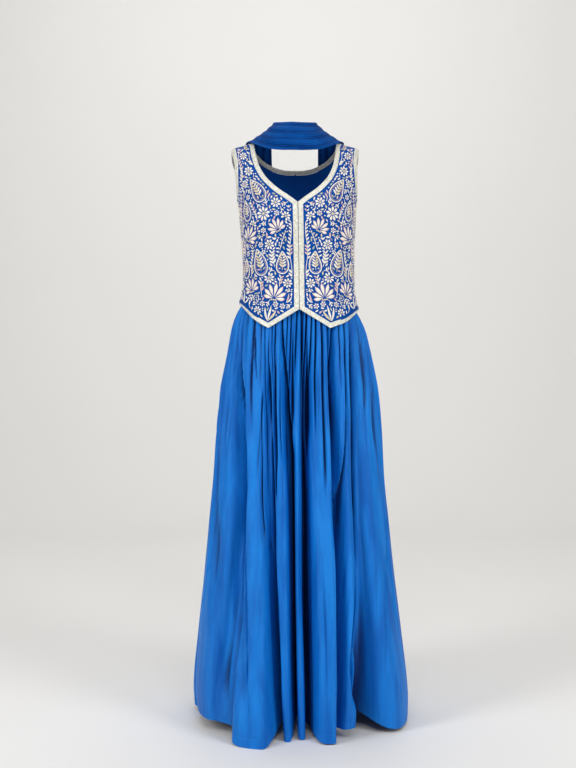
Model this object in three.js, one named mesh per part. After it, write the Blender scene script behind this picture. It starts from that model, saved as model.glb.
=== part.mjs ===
// A lehenga set in its worn shape: a sleeveless waistcoat with bands along its edges, a long
// gathered skirt on a waistband, and a dupatta laid across the neck with its ends down the back.
// Millimetres. The wearer faces -Y and the wearer's left is +X. A turn is an angle in degrees
// round the body, counted from the front (0) over the wearer's left side (90) to the back (180).
// Heights are counted from the floor; the finished group hangs with the waist at zero.
import * as THREE from 'three';

// Driving dimensions
const waistHeight = 1072;
const waistbandDepth = 35;
const bandWidth = 12;
const seamGap = 0.3;
const waistcoatThickness = 2;
const skirtThickness = 1.2;
const waistbandThickness = 2.4;
const dupattaThickness = 2;
const frontEdgeX = 0.6;
const shoulderNeckHeight = 1434;
const shoulderArmHeight = 1417;
const backNeckHeight = 1385;
const hemSideHeight = 1019;

// A table's first entry names its columns, and each row becomes an object with those names.
const table = (columns, ...rows) => rows.map((row) =>
  Object.fromEntries(columns.split(' ').map((name, place) => [name, row[place]])));
const column = (rows, name) => rows.map((row) => row[name]);

// Smooth curve through points with rising inputs, which never overshoots them.
function curveThrough(inputs, outputs) {
  const last = inputs.length - 1;
  const secants = inputs.slice(1).map((input, i) => (outputs[i + 1] - outputs[i]) / (input - inputs[i]));
  const slopes = inputs.map((_, i) => {
    if (i === 0) return secants[0];
    if (i === last) return secants[last - 1];
    const before = secants[i - 1];
    const after = secants[i];
    return before * after > 0 ? (2 * before * after) / (before + after) : 0;
  });
  return (input) => {
    let i = 0;
    while (i < last - 1 && input > inputs[i + 1]) i += 1;
    const span = inputs[i + 1] - inputs[i];
    const t = (input - inputs[i]) / span;
    if (t < 0) return outputs[0] + slopes[0] * (input - inputs[0]);
    if (t > 1) return outputs[last] + slopes[last] * (input - inputs[last]);
    const rise = outputs[i + 1] - outputs[i];
    const bend = t * t * (3 - 2 * t);
    const lead = t * (1 - t) * (1 - t) * slopes[i] - t * t * (1 - t) * slopes[i + 1];
    return outputs[i] + rise * bend + span * lead;
  };
}
const curveOf = (rows, input, output) => curveThrough(column(rows, input), column(rows, output));

// ---------- Body sections: half width, depth to the front and to the back, shift of the middle
const sectionPower = 2.4;
const bodiceRows = table('height halfWidth front back middle',
  [955, 152, 124, 110, 0],
  [1019, 149, 114, 106, 0],
  [1070, 141, 108, 99, 0],
  [1125, 140, 108, 98, 0],
  [1180, 142, 116, 101, 1],
  [1240, 146, 125, 105, 2],
  [1300, 151, 119, 108, 5],
  [1350, 166, 100, 104, 8],
  [1390, 170, 80, 90, 11],
  [1417, 160, 62, 70, 14],
  [1436, 100, 48, 54, 16]);
const skirtRows = table('height halfWidth front back',
  [0, 264, 256, 248],
  [60, 268, 251, 244],
  [108, 266, 246, 240],
  [183, 259, 236, 232],
  [284, 249, 222, 220],
  [385, 238, 206, 208],
  [511, 226, 187, 194],
  [611, 216, 172, 182],
  [712, 207, 158, 170],
  [813, 195, 143, 155],
  [863, 184, 134, 144],
  [914, 173, 124, 132],
  [964, 162, 112, 117],
  [1000, 148, 104, 102],
  [1019, 138, 102, 97],
  [1037, 135, 101, 95]);

// A body shape gives its half width and depths at any height.
const shapeOf = (rows) => ({
  halfWidth: curveOf(rows, 'height', 'halfWidth'),
  front: curveOf(rows, 'height', 'front'),
  back: curveOf(rows, 'height', 'back'),
  middle: rows[0].middle === undefined ? () => 0 : curveOf(rows, 'height', 'middle'),
});
const bodice = shapeOf(bodiceRows);
const skirt = shapeOf(skirtRows);

function sectionRadius(shape, turn, height) {
  const angle = THREE.MathUtils.degToRad(turn);
  const depth = Math.cos(angle) > 0 ? shape.front(height) : shape.back(height);
  const lengthwise = Math.abs(Math.cos(angle) / depth) ** sectionPower;
  const sideways = Math.abs(Math.sin(angle) / shape.halfWidth(height)) ** sectionPower;
  return (lengthwise + sideways) ** (-1 / sectionPower);
}

function sectionPoint(shape, turn, height, out = 0) {
  const angle = THREE.MathUtils.degToRad(turn);
  const radius = sectionRadius(shape, turn, height) + out;
  return new THREE.Vector3(radius * Math.sin(angle), shape.middle(height) - radius * Math.cos(angle), height);
}

// How far a section reaches from its middle at a given x.
function depthAtX(shape, x, height, side) {
  const reach = Math.min(1, Math.abs(x) / shape.halfWidth(height));
  return shape[side](height) * (1 - reach ** sectionPower) ** (1 / sectionPower);
}

function turnAtX(x, height, side = 'front') {
  const turn = THREE.MathUtils.radToDeg(Math.atan2(x, depthAtX(bodice, x, height, side)));
  return side === 'front' ? turn : 180 - turn;
}

// ---------- Cloth: a sheet is its points, their outward normals and its triangles
function surfaceNormal(surface, across, up, step) {
  const alongAcross = surface(across + step, up).sub(surface(across - step, up));
  const alongUp = surface(across, up + step).sub(surface(across, up - step));
  return alongAcross.cross(alongUp).normalize();
}

// Columns run round the body with a rising turn and rows run upward, so the faces point outward.
function gridSheet(columnCount, rowCount, pointAt) {
  const sheet = { points: [], normals: [], faces: [] };
  for (let row = 0; row < rowCount; row += 1) {
    for (let place = 0; place < columnCount; place += 1) {
      const { point, normal } = pointAt(place, row);
      sheet.points.push(point);
      sheet.normals.push(normal);
    }
  }
  for (let row = 0; row + 1 < rowCount; row += 1) {
    for (let place = 0; place + 1 < columnCount; place += 1) {
      const low = row * columnCount + place;
      const high = low + columnCount;
      sheet.faces.push([low, low + 1, high + 1], [low, high + 1, high]);
    }
  }
  return sheet;
}

function mirroredSheet(sheet) {
  const flip = (vector) => new THREE.Vector3(-vector.x, vector.y, vector.z);
  return {
    points: sheet.points.map(flip),
    normals: sheet.normals.map(flip),
    faces: sheet.faces.map(([a, b, c]) => [a, c, b]),
  };
}

function joinedSheets(...sheets) {
  const joined = { points: [], normals: [], faces: [] };
  for (const sheet of sheets) {
    const offset = joined.points.length;
    joined.points.push(...sheet.points);
    joined.normals.push(...sheet.normals);
    joined.faces.push(...sheet.faces.map((face) => face.map((index) => index + offset)));
  }
  return joined;
}

const withMirror = (sheet) => joinedSheets(sheet, mirroredSheet(sheet));

// Points of a sheet that lie together become one, so that halves and rings close.
function weldedSheet(sheet) {
  const places = new Map();
  const welded = { points: [], normals: [], faces: [] };
  const indices = sheet.points.map((point, index) => {
    const key = point.toArray().map((value) => Math.round(value * 100)).join();
    if (!places.has(key)) {
      places.set(key, welded.points.length);
      welded.points.push(point);
      welded.normals.push(sheet.normals[index].clone());
    } else {
      welded.normals[places.get(key)].add(sheet.normals[index]);
    }
    return places.get(key);
  });
  welded.normals.forEach((normal) => normal.normalize());
  welded.faces = sheet.faces.map((face) => face.map((index) => indices[index]))
    .filter(([a, b, c]) => a !== b && b !== c && c !== a);
  return welded;
}

// Gives a sheet its thickness: an inner face behind the outer one, and a rim along every edge.
function clothWall(loose, thickness) {
  const sheet = weldedSheet(loose);
  const count = sheet.points.length;
  const inner = sheet.points.map((point, i) => point.clone().addScaledVector(sheet.normals[i], -thickness));
  const triangles = [...sheet.faces, ...sheet.faces.map(([a, b, c]) => [a + count, c + count, b + count])];
  const edges = new Set(sheet.faces.flatMap(([a, b, c]) => [`${a},${b}`, `${b},${c}`, `${c},${a}`]));
  for (const edge of edges) {
    const [a, b] = edge.split(',').map(Number);
    if (!edges.has(`${b},${a}`)) triangles.push([a + count, b + count, b], [a + count, b, a]);
  }
  const geometry = new THREE.BufferGeometry();
  const positions = [...sheet.points, ...inner].flatMap((point) => point.toArray());
  geometry.setAttribute('position', new THREE.Float32BufferAttribute(positions, 3));
  geometry.setIndex(triangles.flat());
  return geometry;
}

// ---------- Waistcoat outlines, each as turn and height on the bodice
// Rows 0 to 5 go up the centre front and the side seam, 5 to 14 round the neck and the armhole.
const cornerRow = 5;
const shoulderRow = 14;
const shoulderNeckX = bodice.halfWidth(shoulderNeckHeight);
const frontRows = table('row neckX neckHeight armTurn armHeight',
  [0, frontEdgeX, 1008, 90, hemSideHeight],
  [1, frontEdgeX, 1050, 90, 1055],
  [2, frontEdgeX, 1110, 90, 1125],
  [3, frontEdgeX, 1160, 90, 1180],
  [4, frontEdgeX, 1210, 90, 1240],
  [5, frontEdgeX, 1267, 90, 1300],
  [6, 17, 1280, 82, 1305],
  [7, 47, 1302, 75, 1318],
  [8, 77, 1335, 71.5, 1340],
  [9, 90, 1362, 72, 1365],
  [10, 97, 1390, 75, 1388],
  [11, 100, 1410, 80, 1405],
  [12, 102, 1424, 83, 1411],
  [13, 105.5, 1431, 85.5, 1413.5],
  [14, shoulderNeckX, shoulderNeckHeight, 90, shoulderArmHeight]);
const backRows = table('row neckX neckHeight armTurn armHeight',
  [0, 0, hemSideHeight, 90, hemSideHeight],
  [1, 0, 1060, 90, 1055],
  [2, 0, 1130, 90, 1125],
  [3, 0, 1210, 90, 1180],
  [4, 0, 1300, 90, 1240],
  [5, 0, backNeckHeight, 90, 1300],
  [6, 20, 1385.5, 98, 1305],
  [7, 38, 1388, 105, 1318],
  [8, 56, 1393.5, 109, 1340],
  [9, 72, 1400.5, 108, 1365],
  [10, 86, 1409.5, 104, 1388],
  [11, 96, 1419, 99, 1405],
  [12, 102, 1426, 96, 1411],
  [13, 105.5, 1431, 94, 1413.5],
  [14, shoulderNeckX, shoulderNeckHeight, 90, shoulderArmHeight]);
const hemPoint = { x: 75, height: 963 };
const hemInnerLine = curveThrough([frontEdgeX, hemPoint.x], [frontRows[0].neckHeight, hemPoint.height]);
const hemOuterLine = curveThrough([hemPoint.x, 112, bodice.halfWidth(hemSideHeight)],
  [hemPoint.height, 982, hemSideHeight]);
const hemHeight = (x) => (x < hemPoint.x ? hemInnerLine(x) : hemOuterLine(x));

// A column of an outline table by row, straight up to the corner row and smooth beyond it.
function outlineColumn(rows, name) {
  const below = curveOf(rows.slice(0, cornerRow + 1), 'row', name);
  const above = curveOf(rows.slice(cornerRow), 'row', name);
  return (row) => (row < cornerRow ? below(row) : above(row));
}

function outlineOf(rows, side) {
  const neckX = outlineColumn(rows, 'neckX');
  const neckHeight = outlineColumn(rows, 'neckHeight');
  const armTurn = outlineColumn(rows, 'armTurn');
  const armHeight = outlineColumn(rows, 'armHeight');
  return {
    neck: (row) => (row === shoulderRow
      ? { turn: 90, height: shoulderNeckHeight }
      : { turn: turnAtX(neckX(row), neckHeight(row), side), height: neckHeight(row) }),
    arm: (row) => ({ turn: armTurn(row), height: armHeight(row) }),
  };
}
const frontOutline = outlineOf(frontRows, 'front');
const backOutline = outlineOf(backRows, 'back');

const onBodice = ({ turn, height }) => sectionPoint(bodice, turn, height);

function bodiceSpot({ turn, height }) {
  const surface = (someTurn, someHeight) => sectionPoint(bodice, someTurn, someHeight);
  return { point: surface(turn, height), normal: surfaceNormal(surface, turn, height, 0.5) };
}

// Moves one place of an outline sideways over the bodice, to the left of its run for a distance
// above zero, with the corner mitred.
function inset(before, here, after, distance) {
  const { point, normal } = bodiceSpot(here);
  const lead = point.clone().sub(onBodice(before ?? here));
  const follow = onBodice(after ?? here).sub(point);
  const leadSide = normal.clone().cross(before ? lead : follow).normalize();
  const followSide = normal.clone().cross(after ? follow : lead).normalize();
  const share = distance / (1 + leadSide.dot(followSide));
  const moved = point.addScaledVector(leadSide.add(followSide), share);
  const turn = THREE.MathUtils.radToDeg(Math.atan2(moved.x, bodice.middle(moved.z) - moved.y));
  return { turn: turn < -1 ? turn + 360 : turn, height: moved.z };
}

const insetRun = (run, distance, first, last) => run.map((here, i) =>
  inset(i > 0 ? run[i - 1] : first, here, i + 1 < run.length ? run[i + 1] : last, distance));

const acrossCentreBack = ({ turn, height }) => ({ turn: 360 - turn, height });

// Rows used for the walls: the lower rows, then the curved rows round the neck and armhole.
const lowerRows = [0, 0.5, 1, 2, 3, 4, 4.5];
const upperRows = [5, 5.5, 6, 7, 7.5, 8, 9, 10, 11, 12, 13, 14];
const wallRows = [...lowerRows, ...upperRows];
const backUpperRows = [...upperRows].reverse().slice(1);

// The neck edge of the left half, from the hem at the centre front to the centre back.
const neckRun = [...wallRows.map(frontOutline.neck), ...backUpperRows.map(backOutline.neck)];
const neckInset = (distance) => insetRun(neckRun, -distance, undefined, acrossCentreBack(neckRun.at(-2)));

// The left armhole, from the underarm up the front, over the shoulder and down the back.
const armRun = [...upperRows.map(frontOutline.arm), ...backUpperRows.slice(0, -1).map(backOutline.arm)];
const armInset = (distance) => insetRun(armRun, distance, armRun.at(-1), armRun[0]);

// Column places as shares of the turn between the centre line and the side.
const pointShare = turnAtX(hemPoint.x, hemPoint.height) / 90;
const frontShares = [0, 0.3, 0.65, 1].map((share) => share * pointShare)
  .concat([0.2, 0.38, 0.56, 0.74, 0.88, 1].map((share) => pointShare + share * (1 - pointShare)));
const backShares = [0, 0.14, 0.28, 0.42, 0.56, 0.7, 0.85, 1];

// The hem of the left half, from the centre front over the side to the centre back.
function hemPlace(turn) {
  let height = hemSideHeight;
  for (let pass = 0; pass < 4 && turn < 90; pass += 1) {
    height = hemHeight(sectionPoint(bodice, turn, height).x);
  }
  return { turn, height };
}
const frontTurnAt = (share) => {
  const start = turnAtX(frontEdgeX, frontRows[0].neckHeight);
  return share >= 1 ? 90 : start + share * (90 - start);
};
const hemRun = [
  ...frontShares.map((share) => hemPlace(frontTurnAt(share))),
  ...[...backShares].reverse().slice(1).map((share) => ({ turn: 180 - 90 * share, height: hemSideHeight })),
];

// The mitred corner of the bands at the foot of the centre front.
function frontCorner(width, shift = 0) {
  const x = frontEdgeX + width + shift;
  const slope = (hemPoint.height - frontRows[0].neckHeight) / (hemPoint.x - frontEdgeX);
  const height = hemHeight(x) + width * Math.hypot(1, slope);
  return { turn: turnAtX(x, height), height };
}

function hemInset(distance) {
  const places = insetRun(hemRun, distance, undefined, acrossCentreBack(hemRun.at(-2)));
  return [frontCorner(distance), ...places.slice(1)];
}

// ---------- Waistcoat panels: a patch between four outlines, blended in turn and height
function patchPlace(patch, s, t) {
  const [lowLeft, lowRight] = [patch.left(0), patch.right(0)];
  const [highLeft, highRight] = [patch.left(1), patch.right(1)];
  const blend = (name, share) => {
    const acrossRows = (1 - t) * patch.bottom(s)[name] + t * patch.top(s)[name];
    const acrossColumns = (1 - share) * patch.left(t)[name] + share * patch.right(t)[name];
    const corners = (1 - share) * (1 - t) * lowLeft[name] + share * (1 - t) * lowRight[name]
      + (1 - share) * t * highLeft[name] + share * t * highRight[name];
    return acrossRows + acrossColumns - corners;
  };
  return { turn: blend('turn', s), height: blend('height', patch.heightShare(s)) };
}

// Looks a place up in a list by its share, where the share is one of the listed ones.
const lookup = (shares, places) => (share) => places[shares.indexOf(share)];

function panelSheet({ shares, left, right, bottom, heightShare = (s) => s }) {
  const rowShares = wallRows.map((row) => row / shoulderRow);
  const [topLeft, topRight] = [left.at(-1), right.at(-1)];
  const top = (s) => ({
    turn: topLeft.turn + s * (topRight.turn - topLeft.turn),
    height: topLeft.height + s * (topRight.height - topLeft.height),
  });
  const patch = {
    left: lookup(rowShares, left),
    right: lookup(rowShares, right),
    bottom: lookup(shares, bottom),
    top,
    heightShare,
  };
  return gridSheet(shares.length, rowShares.length, (place, row) =>
    bodiceSpot(patchPlace(patch, shares[place], rowShares[row])));
}

// Moves the edges on the side and shoulder seams back by half the gap between the pieces.
function easedAtSeams(sheet, columnCount, direction) {
  sheet.points.forEach((point, index) => {
    const isSide = index % columnCount === columnCount - 1;
    const isShoulder = index >= sheet.points.length - columnCount;
    if (isSide || isShoulder) point.y += direction * seamGap / 2;
  });
  return sheet;
}

const panelInset = bandWidth + seamGap;
const panelNeck = neckInset(panelInset);
const panelArm = armInset(panelInset);
const panelHem = hemInset(panelInset);
const sideAt = (outline, row) => ({ turn: 90, height: outline.arm(row).height });

function frontPanelSheet() {
  const bottom = panelHem.slice(0, frontShares.length);
  const sheet = panelSheet({
    shares: frontShares,
    left: [bottom[0], ...panelNeck.slice(1, wallRows.length)],
    right: [
      bottom.at(-1),
      ...lowerRows.slice(1).map((row) => sideAt(frontOutline, row)),
      ...panelArm.slice(0, upperRows.length),
    ],
    bottom,
  });
  return easedAtSeams(sheet, frontShares.length, -1);
}

// One half of the back, made from its centre line to the side and turned round to face outward.
// Its rows come down from the neck to the side early, to pass under the armhole.
function backHalfSheet() {
  const bottom = panelHem.slice(frontShares.length - 1).reverse();
  const neck = panelNeck.slice(wallRows.length - 1).reverse();
  const arm = [panelArm[0], ...panelArm.slice(upperRows.length - 1).reverse()];
  const centre = lowerRows.slice(1).map((row) => ({ turn: 180, height: backOutline.neck(row).height }));
  const sheet = panelSheet({
    shares: backShares,
    left: [bottom[0], ...centre, ...neck],
    right: [bottom.at(-1), ...lowerRows.slice(1).map((row) => sideAt(backOutline, row)), ...arm],
    bottom,
    heightShare: (s) => s * (2 - s),
  });
  const eased = easedAtSeams(sheet, backShares.length, 1);
  return { ...eased, faces: eased.faces.map(([a, b, c]) => [a, c, b]) };
}

// A strip between two outlines; the first is on its left when the run is looked along.
const stripSheet = (firstEdge, secondEdge) => gridSheet(2, firstEdge.length, (place, row) =>
  bodiceSpot(place === 0 ? firstEdge[row] : secondEdge[row]));

function neckBandSheet() {
  const inner = neckInset(bandWidth);
  inner[0] = frontCorner(bandWidth);
  return withMirror(stripSheet(neckRun, inner));
}

function hemBandSheet() {
  const mitreShift = 0.4;
  const outer = [hemPlace(turnAtX(frontEdgeX + mitreShift, hemHeight(frontEdgeX))), ...hemRun.slice(1)];
  const inner = [frontCorner(bandWidth, mitreShift), ...hemInset(bandWidth).slice(1)];
  return withMirror(gridSheet(outer.length, 2, (place, row) => bodiceSpot((row ? inner : outer)[place])));
}

function armholeBandSheet() {
  const close = (run) => [...run, run[0]];
  return stripSheet(close(armInset(bandWidth)), close(armRun));
}

// ---------- Skirt: folds round the body, each a crest between two valleys
// Turns and outward moves of each valley and crest at four heights, with none at the waist, and
// how far its hem is lifted off the floor.
const foldHeights = { hem: 0, knee: 435, hip: 808, waist: waistHeight - waistbandDepth };
const foldRows = table('waist hip knee hem hipOut kneeOut hemOut lift',
  [-90, -90, -90, -90, -8, -14, -20, 10],
  [-77, -68, -62, -75, 0, 0, -12, 28],
  [-64.3, -54, -41.5, -43, -22, -42, -26, 30],
  [-51.4, -40, -29.5, -18.8, 0, 4, 24, 0],
  [-38.6, -28.3, -19.8, -12.6, -16, -40, -130, 42],
  [-25.7, -19.5, -12, -7.2, 0, -6, -34, 0],
  [-12.9, -13, -5.6, -3.3, -24, -60, -130, 32],
  [0, -3, -0.9, 1.4, -2, -10, -46, 2],
  [12.9, 5.5, 4.1, 5.5, -22, -56, -120, 20],
  [25.7, 18.5, 16.5, 17.2, 0, 2, -8, 3],
  [38.6, 31.5, 29.2, 22.5, -26, -50, -120, 20],
  [51.4, 40, 34.8, 27.6, -2, -8, -30, 26],
  [64.3, 48.5, 41, 40, -18, -34, -112, 55],
  [77, 65, 59, 66, 0, 0, 6, 8],
  [90, 90, 90, 90, -8, -14, -14, 10],
  [102.9, 104, 103, 101, 0, 0, 6, 6],
  [115.7, 117, 116, 113, -18, -40, -70, 24],
  [128.6, 129, 128, 127, 0, 0, 4, 2],
  [141.4, 141, 142, 144, -20, -44, -84, 26],
  [154.3, 153, 155, 158, 0, 2, 6, 4],
  [167.1, 167, 169, 171, -16, -38, -66, 22],
  [180, 181, 182, 183, 0, 0, 0, 0],
  [192.9, 194, 193, 192, -22, -46, -88, 28],
  [205.7, 205, 204, 203, 0, 2, 4, 3],
  [218.6, 218, 217, 215, -18, -36, -72, 24],
  [231.4, 231, 229, 228, 0, 0, 6, 5],
  [244.3, 243, 243, 244, -20, -44, -80, 26],
  [257.1, 256, 257, 259, 0, 0, 2, 14],
  [270, 270, 270, 270, -8, -14, -20, 10]);
const foldCount = (foldRows.length - 1) / 2;
const columnsPerFold = 12;
const gathersPerFold = 4;
const gatherDepth = curveThrough([0, 500, 650, 800, 900, 1000, 1037], [0, 0, 1, 2.2, 3, 3, 2.2]);
const crestSpread = 1.4;
const crestBreadth = 0.6;
const wallSteepness = curveThrough([0, 500, 1037], [0.75, 0.6, 0.2]);
const liftFade = 160;

const foldLines = foldRows.map((row) => {
  const { hem, knee, hip, waist } = foldHeights;
  return {
    turn: curveThrough([hem, knee, hip, waist], [row.hem, row.knee, row.hip, row.waist]),
    out: curveThrough([hem, knee, hip, waist], [row.hemOut, row.kneeOut, row.hipOut, 0]),
    lift: row.lift,
  };
});

// The place is counted in folds round the skirt, starting at the wearer's right side seam.
function skirtPoint(place, height) {
  const fold = Math.min(Math.max(Math.floor(place), 0), foldCount - 1);
  const side = 2 * (place - fold) - 1;
  const away = Math.min(Math.abs(side), 1) ** crestSpread;
  const crest = foldLines[2 * fold + 1];
  const valley = foldLines[2 * fold + (side < 0 ? 0 : 2)];
  const steep = wallSteepness(height) * Math.sin(2 * Math.PI * away) / (2 * Math.PI);
  const sideways = (away + steep) ** crestBreadth;
  const turn = crest.turn(height) + (valley.turn(height) - crest.turn(height)) * sideways;
  const sunk = 0.5 - 0.5 * Math.cos(Math.PI * away);
  const out = crest.out(height) + (valley.out(height) - crest.out(height)) * sunk;
  const gather = gatherDepth(height) * Math.cos(2 * Math.PI * gathersPerFold * (place - fold));
  const point = sectionPoint(skirt, turn, height, out + gather);
  const lift = crest.lift + (valley.lift - crest.lift) * sunk;
  point.z += lift * Math.max(0, 1 - height / liftFade) ** 2;
  return point;
}

// Levels of the skirt's rows, closer at the waist, the hip and the hem.
const skirtLevels = [0, 45, 140, 255, 370, 480, 585, 680, 765, 835, 895, 945, 985, 1018,
  waistHeight - waistbandDepth - seamGap];

function skirtPanelSheet(firstFold, seamDirection) {
  const columnCount = (foldCount / 2) * columnsPerFold + 1;
  const sheet = gridSheet(columnCount, skirtLevels.length, (place, row) => {
    const across = firstFold + place / columnsPerFold;
    const height = skirtLevels[row];
    const tangent = skirtPoint(across + 0.01, height).sub(skirtPoint(across - 0.01, height));
    const upward = skirtPoint(across, height + 1).sub(skirtPoint(across, Math.max(height - 1, 0)));
    return { point: skirtPoint(across, height), normal: tangent.cross(upward).normalize() };
  });
  sheet.points.forEach((point, index) => {
    const place = index % columnCount;
    if (place === 0 || place === columnCount - 1) point.y += seamDirection * seamGap / 2;
  });
  return sheet;
}

const waistbandColumns = 56;
function waistbandSheet() {
  const joinHeight = waistHeight - waistbandDepth;
  const levels = [joinHeight, waistHeight];
  const surface = (turn, height) => sectionPoint(skirt, turn, joinHeight).setZ(height);
  return gridSheet(waistbandColumns + 1, levels.length, (place, row) => {
    const turn = (place % waistbandColumns) * 360 / waistbandColumns;
    return { point: surface(turn, levels[row]), normal: surfaceNormal(surface, turn, levels[row], 0.5) };
  });
}

// ---------- Dupatta: three lengthwise lines at stations from the front of the neck to the back
const drapeRows = table('innerX innerY innerZ middleX middleY middleZ outerX outerY outerZ',
  [0, -74, 1469, 0, -98, 1434, 0, -100, 1396],
  [27, -66, 1471, 30, -92, 1435, 34, -96, 1396.5],
  [46, -42, 1476, 55, -74, 1440, 66, -82, 1403],
  [53, -14, 1482, 71, -44, 1450, 95, -56, 1418],
  [55, 12, 1484, 80, -8, 1459, 114, -24, 1431],
  [57, 36, 1478, 85, 28, 1457, 123, 14, 1438],
  [59, 62, 1456, 89, 62, 1441, 126, 52, 1433],
  [60, 90, 1419, 92, 92, 1405, 128, 84, 1393]);
const tailRows = table('height innerX outerX',
  [1335, 59, 130],
  [1250, 57, 132],
  [1150, 55, 136],
  [1050, 52, 140],
  [950, 49, 145],
  [850, 46, 150],
  [750, 42, 155],
  [650, 38, 159],
  [560, 35, 163],
  [495, 33, 166]);
const tailClearance = 10;
const pleatCount = 5;
const pleatDepth = 1.5;
const shoulderStation = 5.3;

// How far back a tail has to lie to clear the waistcoat above its hem and the skirt below it.
function behindAt(x, height) {
  const covered = height > hemSideHeight;
  const body = covered ? bodice : skirt;
  return body.middle(height) + depthAtX(body, x, height, 'back') + tailClearance;
}

const railNames = ['outer', 'middle', 'inner'];
const drapeRails = railNames.map((name) => {
  const overNeck = drapeRows.map((row) =>
    new THREE.Vector3(row[`${name}X`], row[`${name}Y`], row[`${name}Z`]));
  let reach = 0;
  const downBack = tailRows.map((row) => {
    const x = name === 'middle' ? (row.innerX + row.outerX) / 2 : row[`${name}X`];
    reach = Math.max(reach, behindAt(x, row.height));
    return new THREE.Vector3(x, reach, row.height);
  });
  const half = [...overNeck, ...downBack];
  const otherHalf = half.slice(1).reverse().map((point) => new THREE.Vector3(-point.x, point.y, point.z));
  return new THREE.CatmullRomCurve3([...otherHalf, ...half], false, 'catmullrom', 0.5);
});
const tailEnd = drapeRows.length + tailRows.length - 1;

// A point at a station along the dupatta and a share from its outer to its inner edge.
function drapePoint(station, share) {
  const along = (station + tailEnd) / (2 * tailEnd);
  const [outer, middle, inner] = drapeRails.map((rail) => rail.getPoint(THREE.MathUtils.clamp(along, 0, 1)));
  const q = 2 * share - 1;
  return outer.multiplyScalar(q * (q - 1) / 2)
    .addScaledVector(middle, 1 - q * q)
    .addScaledVector(inner, q * (q + 1) / 2);
}

function pleatedSpot(station, share) {
  const step = 0.02;
  const alongStep = drapePoint(station + step, share).sub(drapePoint(station - step, share));
  const acrossStep = drapePoint(station, share + step).sub(drapePoint(station, share - step));
  const normal = alongStep.cross(acrossStep).normalize();
  const pleat = pleatDepth * Math.cos(2 * Math.PI * pleatCount * share);
  return { point: drapePoint(station, share).addScaledVector(normal, pleat), normal };
}

const drapeRowCount = 3 * pleatCount + 1;
function drapeSheet(stations) {
  return gridSheet(stations.length, drapeRowCount, (place, row) =>
    pleatedSpot(stations[place], row / (drapeRowCount - 1)));
}

const stationGap = 0.005;
const frontHalfStations = [0, 0.8, 1.6, 2.4, 3.2, 4, 4.7, shoulderStation - stationGap];
const frontStations = [...frontHalfStations.slice(1).reverse().map((station) => -station), ...frontHalfStations];
const tailStations = [shoulderStation + stationGap, 5.9, 6.5, 7.2, 8, 9, 10.2, 11.5, 13, 14.5, 16, tailEnd];

// ---------- How the set hangs: the shoulders lean to the wearer's right and the hips tilt a little
const leanRows = table('height shift',
  [0, 0], [960, 0], [1100, -1], [1165, -2], [1286, -4.5], [1420, -10], [1490, -10.5]);
const tiltRows = table('height share', [0, 0], [880, 0], [1000, 1], [1045, 1], [1220, 0], [1490, 0]);
const lean = curveOf(leanRows, 'height', 'shift');
const tiltShare = curveOf(tiltRows, 'height', 'share');
const hipTilt = 8;
const hipSide = { from: 70, to: 147 };

function hangGeometry(geometry) {
  const places = geometry.getAttribute('position');
  for (let i = 0; i < places.count; i += 1) {
    const [x, height] = [places.getX(i), places.getZ(i)];
    const side = Math.sign(x) * THREE.MathUtils.smoothstep(Math.abs(x), hipSide.from, hipSide.to);
    places.setX(i, x + lean(height));
    places.setZ(i, height - hipTilt * side * tiltShare(height));
  }
  geometry.computeVertexNormals();
  return geometry;
}

// ---------- Materials and the finished set
const fabric = (color, roughness) => new THREE.MeshStandardMaterial({ color, roughness, metalness: 0 });
const crepe = fabric(0x1259b4, 0.55);
const silk = fabric(0x1255b0, 0.5);
const tissue = new THREE.MeshStandardMaterial({ color: 0xd8d5c0, roughness: 0.45, metalness: 0.15 });
const chiffon = fabric(0x0e4c9c, 0.65);

const garment = new THREE.Group();
garment.position.z = -waistHeight;

function addPiece(name, sheet, thickness, material) {
  const mesh = new THREE.Mesh(hangGeometry(clothWall(sheet, thickness)), material);
  mesh.name = name;
  garment.add(mesh);
}

const frontPanel = frontPanelSheet();
const armholeBand = armholeBandSheet();
const tail = drapeSheet(tailStations);
addPiece('waistcoat_front_left', frontPanel, waistcoatThickness, silk);
addPiece('waistcoat_front_right', mirroredSheet(frontPanel), waistcoatThickness, silk);
addPiece('waistcoat_back', withMirror(backHalfSheet()), waistcoatThickness, silk);
addPiece('neck_band', neckBandSheet(), waistcoatThickness, tissue);
addPiece('hem_band', hemBandSheet(), waistcoatThickness, tissue);
addPiece('armhole_band_left', armholeBand, waistcoatThickness, tissue);
addPiece('armhole_band_right', mirroredSheet(armholeBand), waistcoatThickness, tissue);
addPiece('skirt_waistband', waistbandSheet(), waistbandThickness, crepe);
addPiece('skirt_front', skirtPanelSheet(0, -1), skirtThickness, crepe);
addPiece('skirt_back', skirtPanelSheet(foldCount / 2, 1), skirtThickness, crepe);
addPiece('dupatta_front', drapeSheet(frontStations), dupattaThickness, chiffon);
addPiece('dupatta_left_tail', tail, dupattaThickness, chiffon);
addPiece('dupatta_right_tail', mirroredSheet(tail), dupattaThickness, chiffon);

const group = new THREE.Group();
group.add(garment);

export default group;
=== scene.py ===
import math

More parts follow.
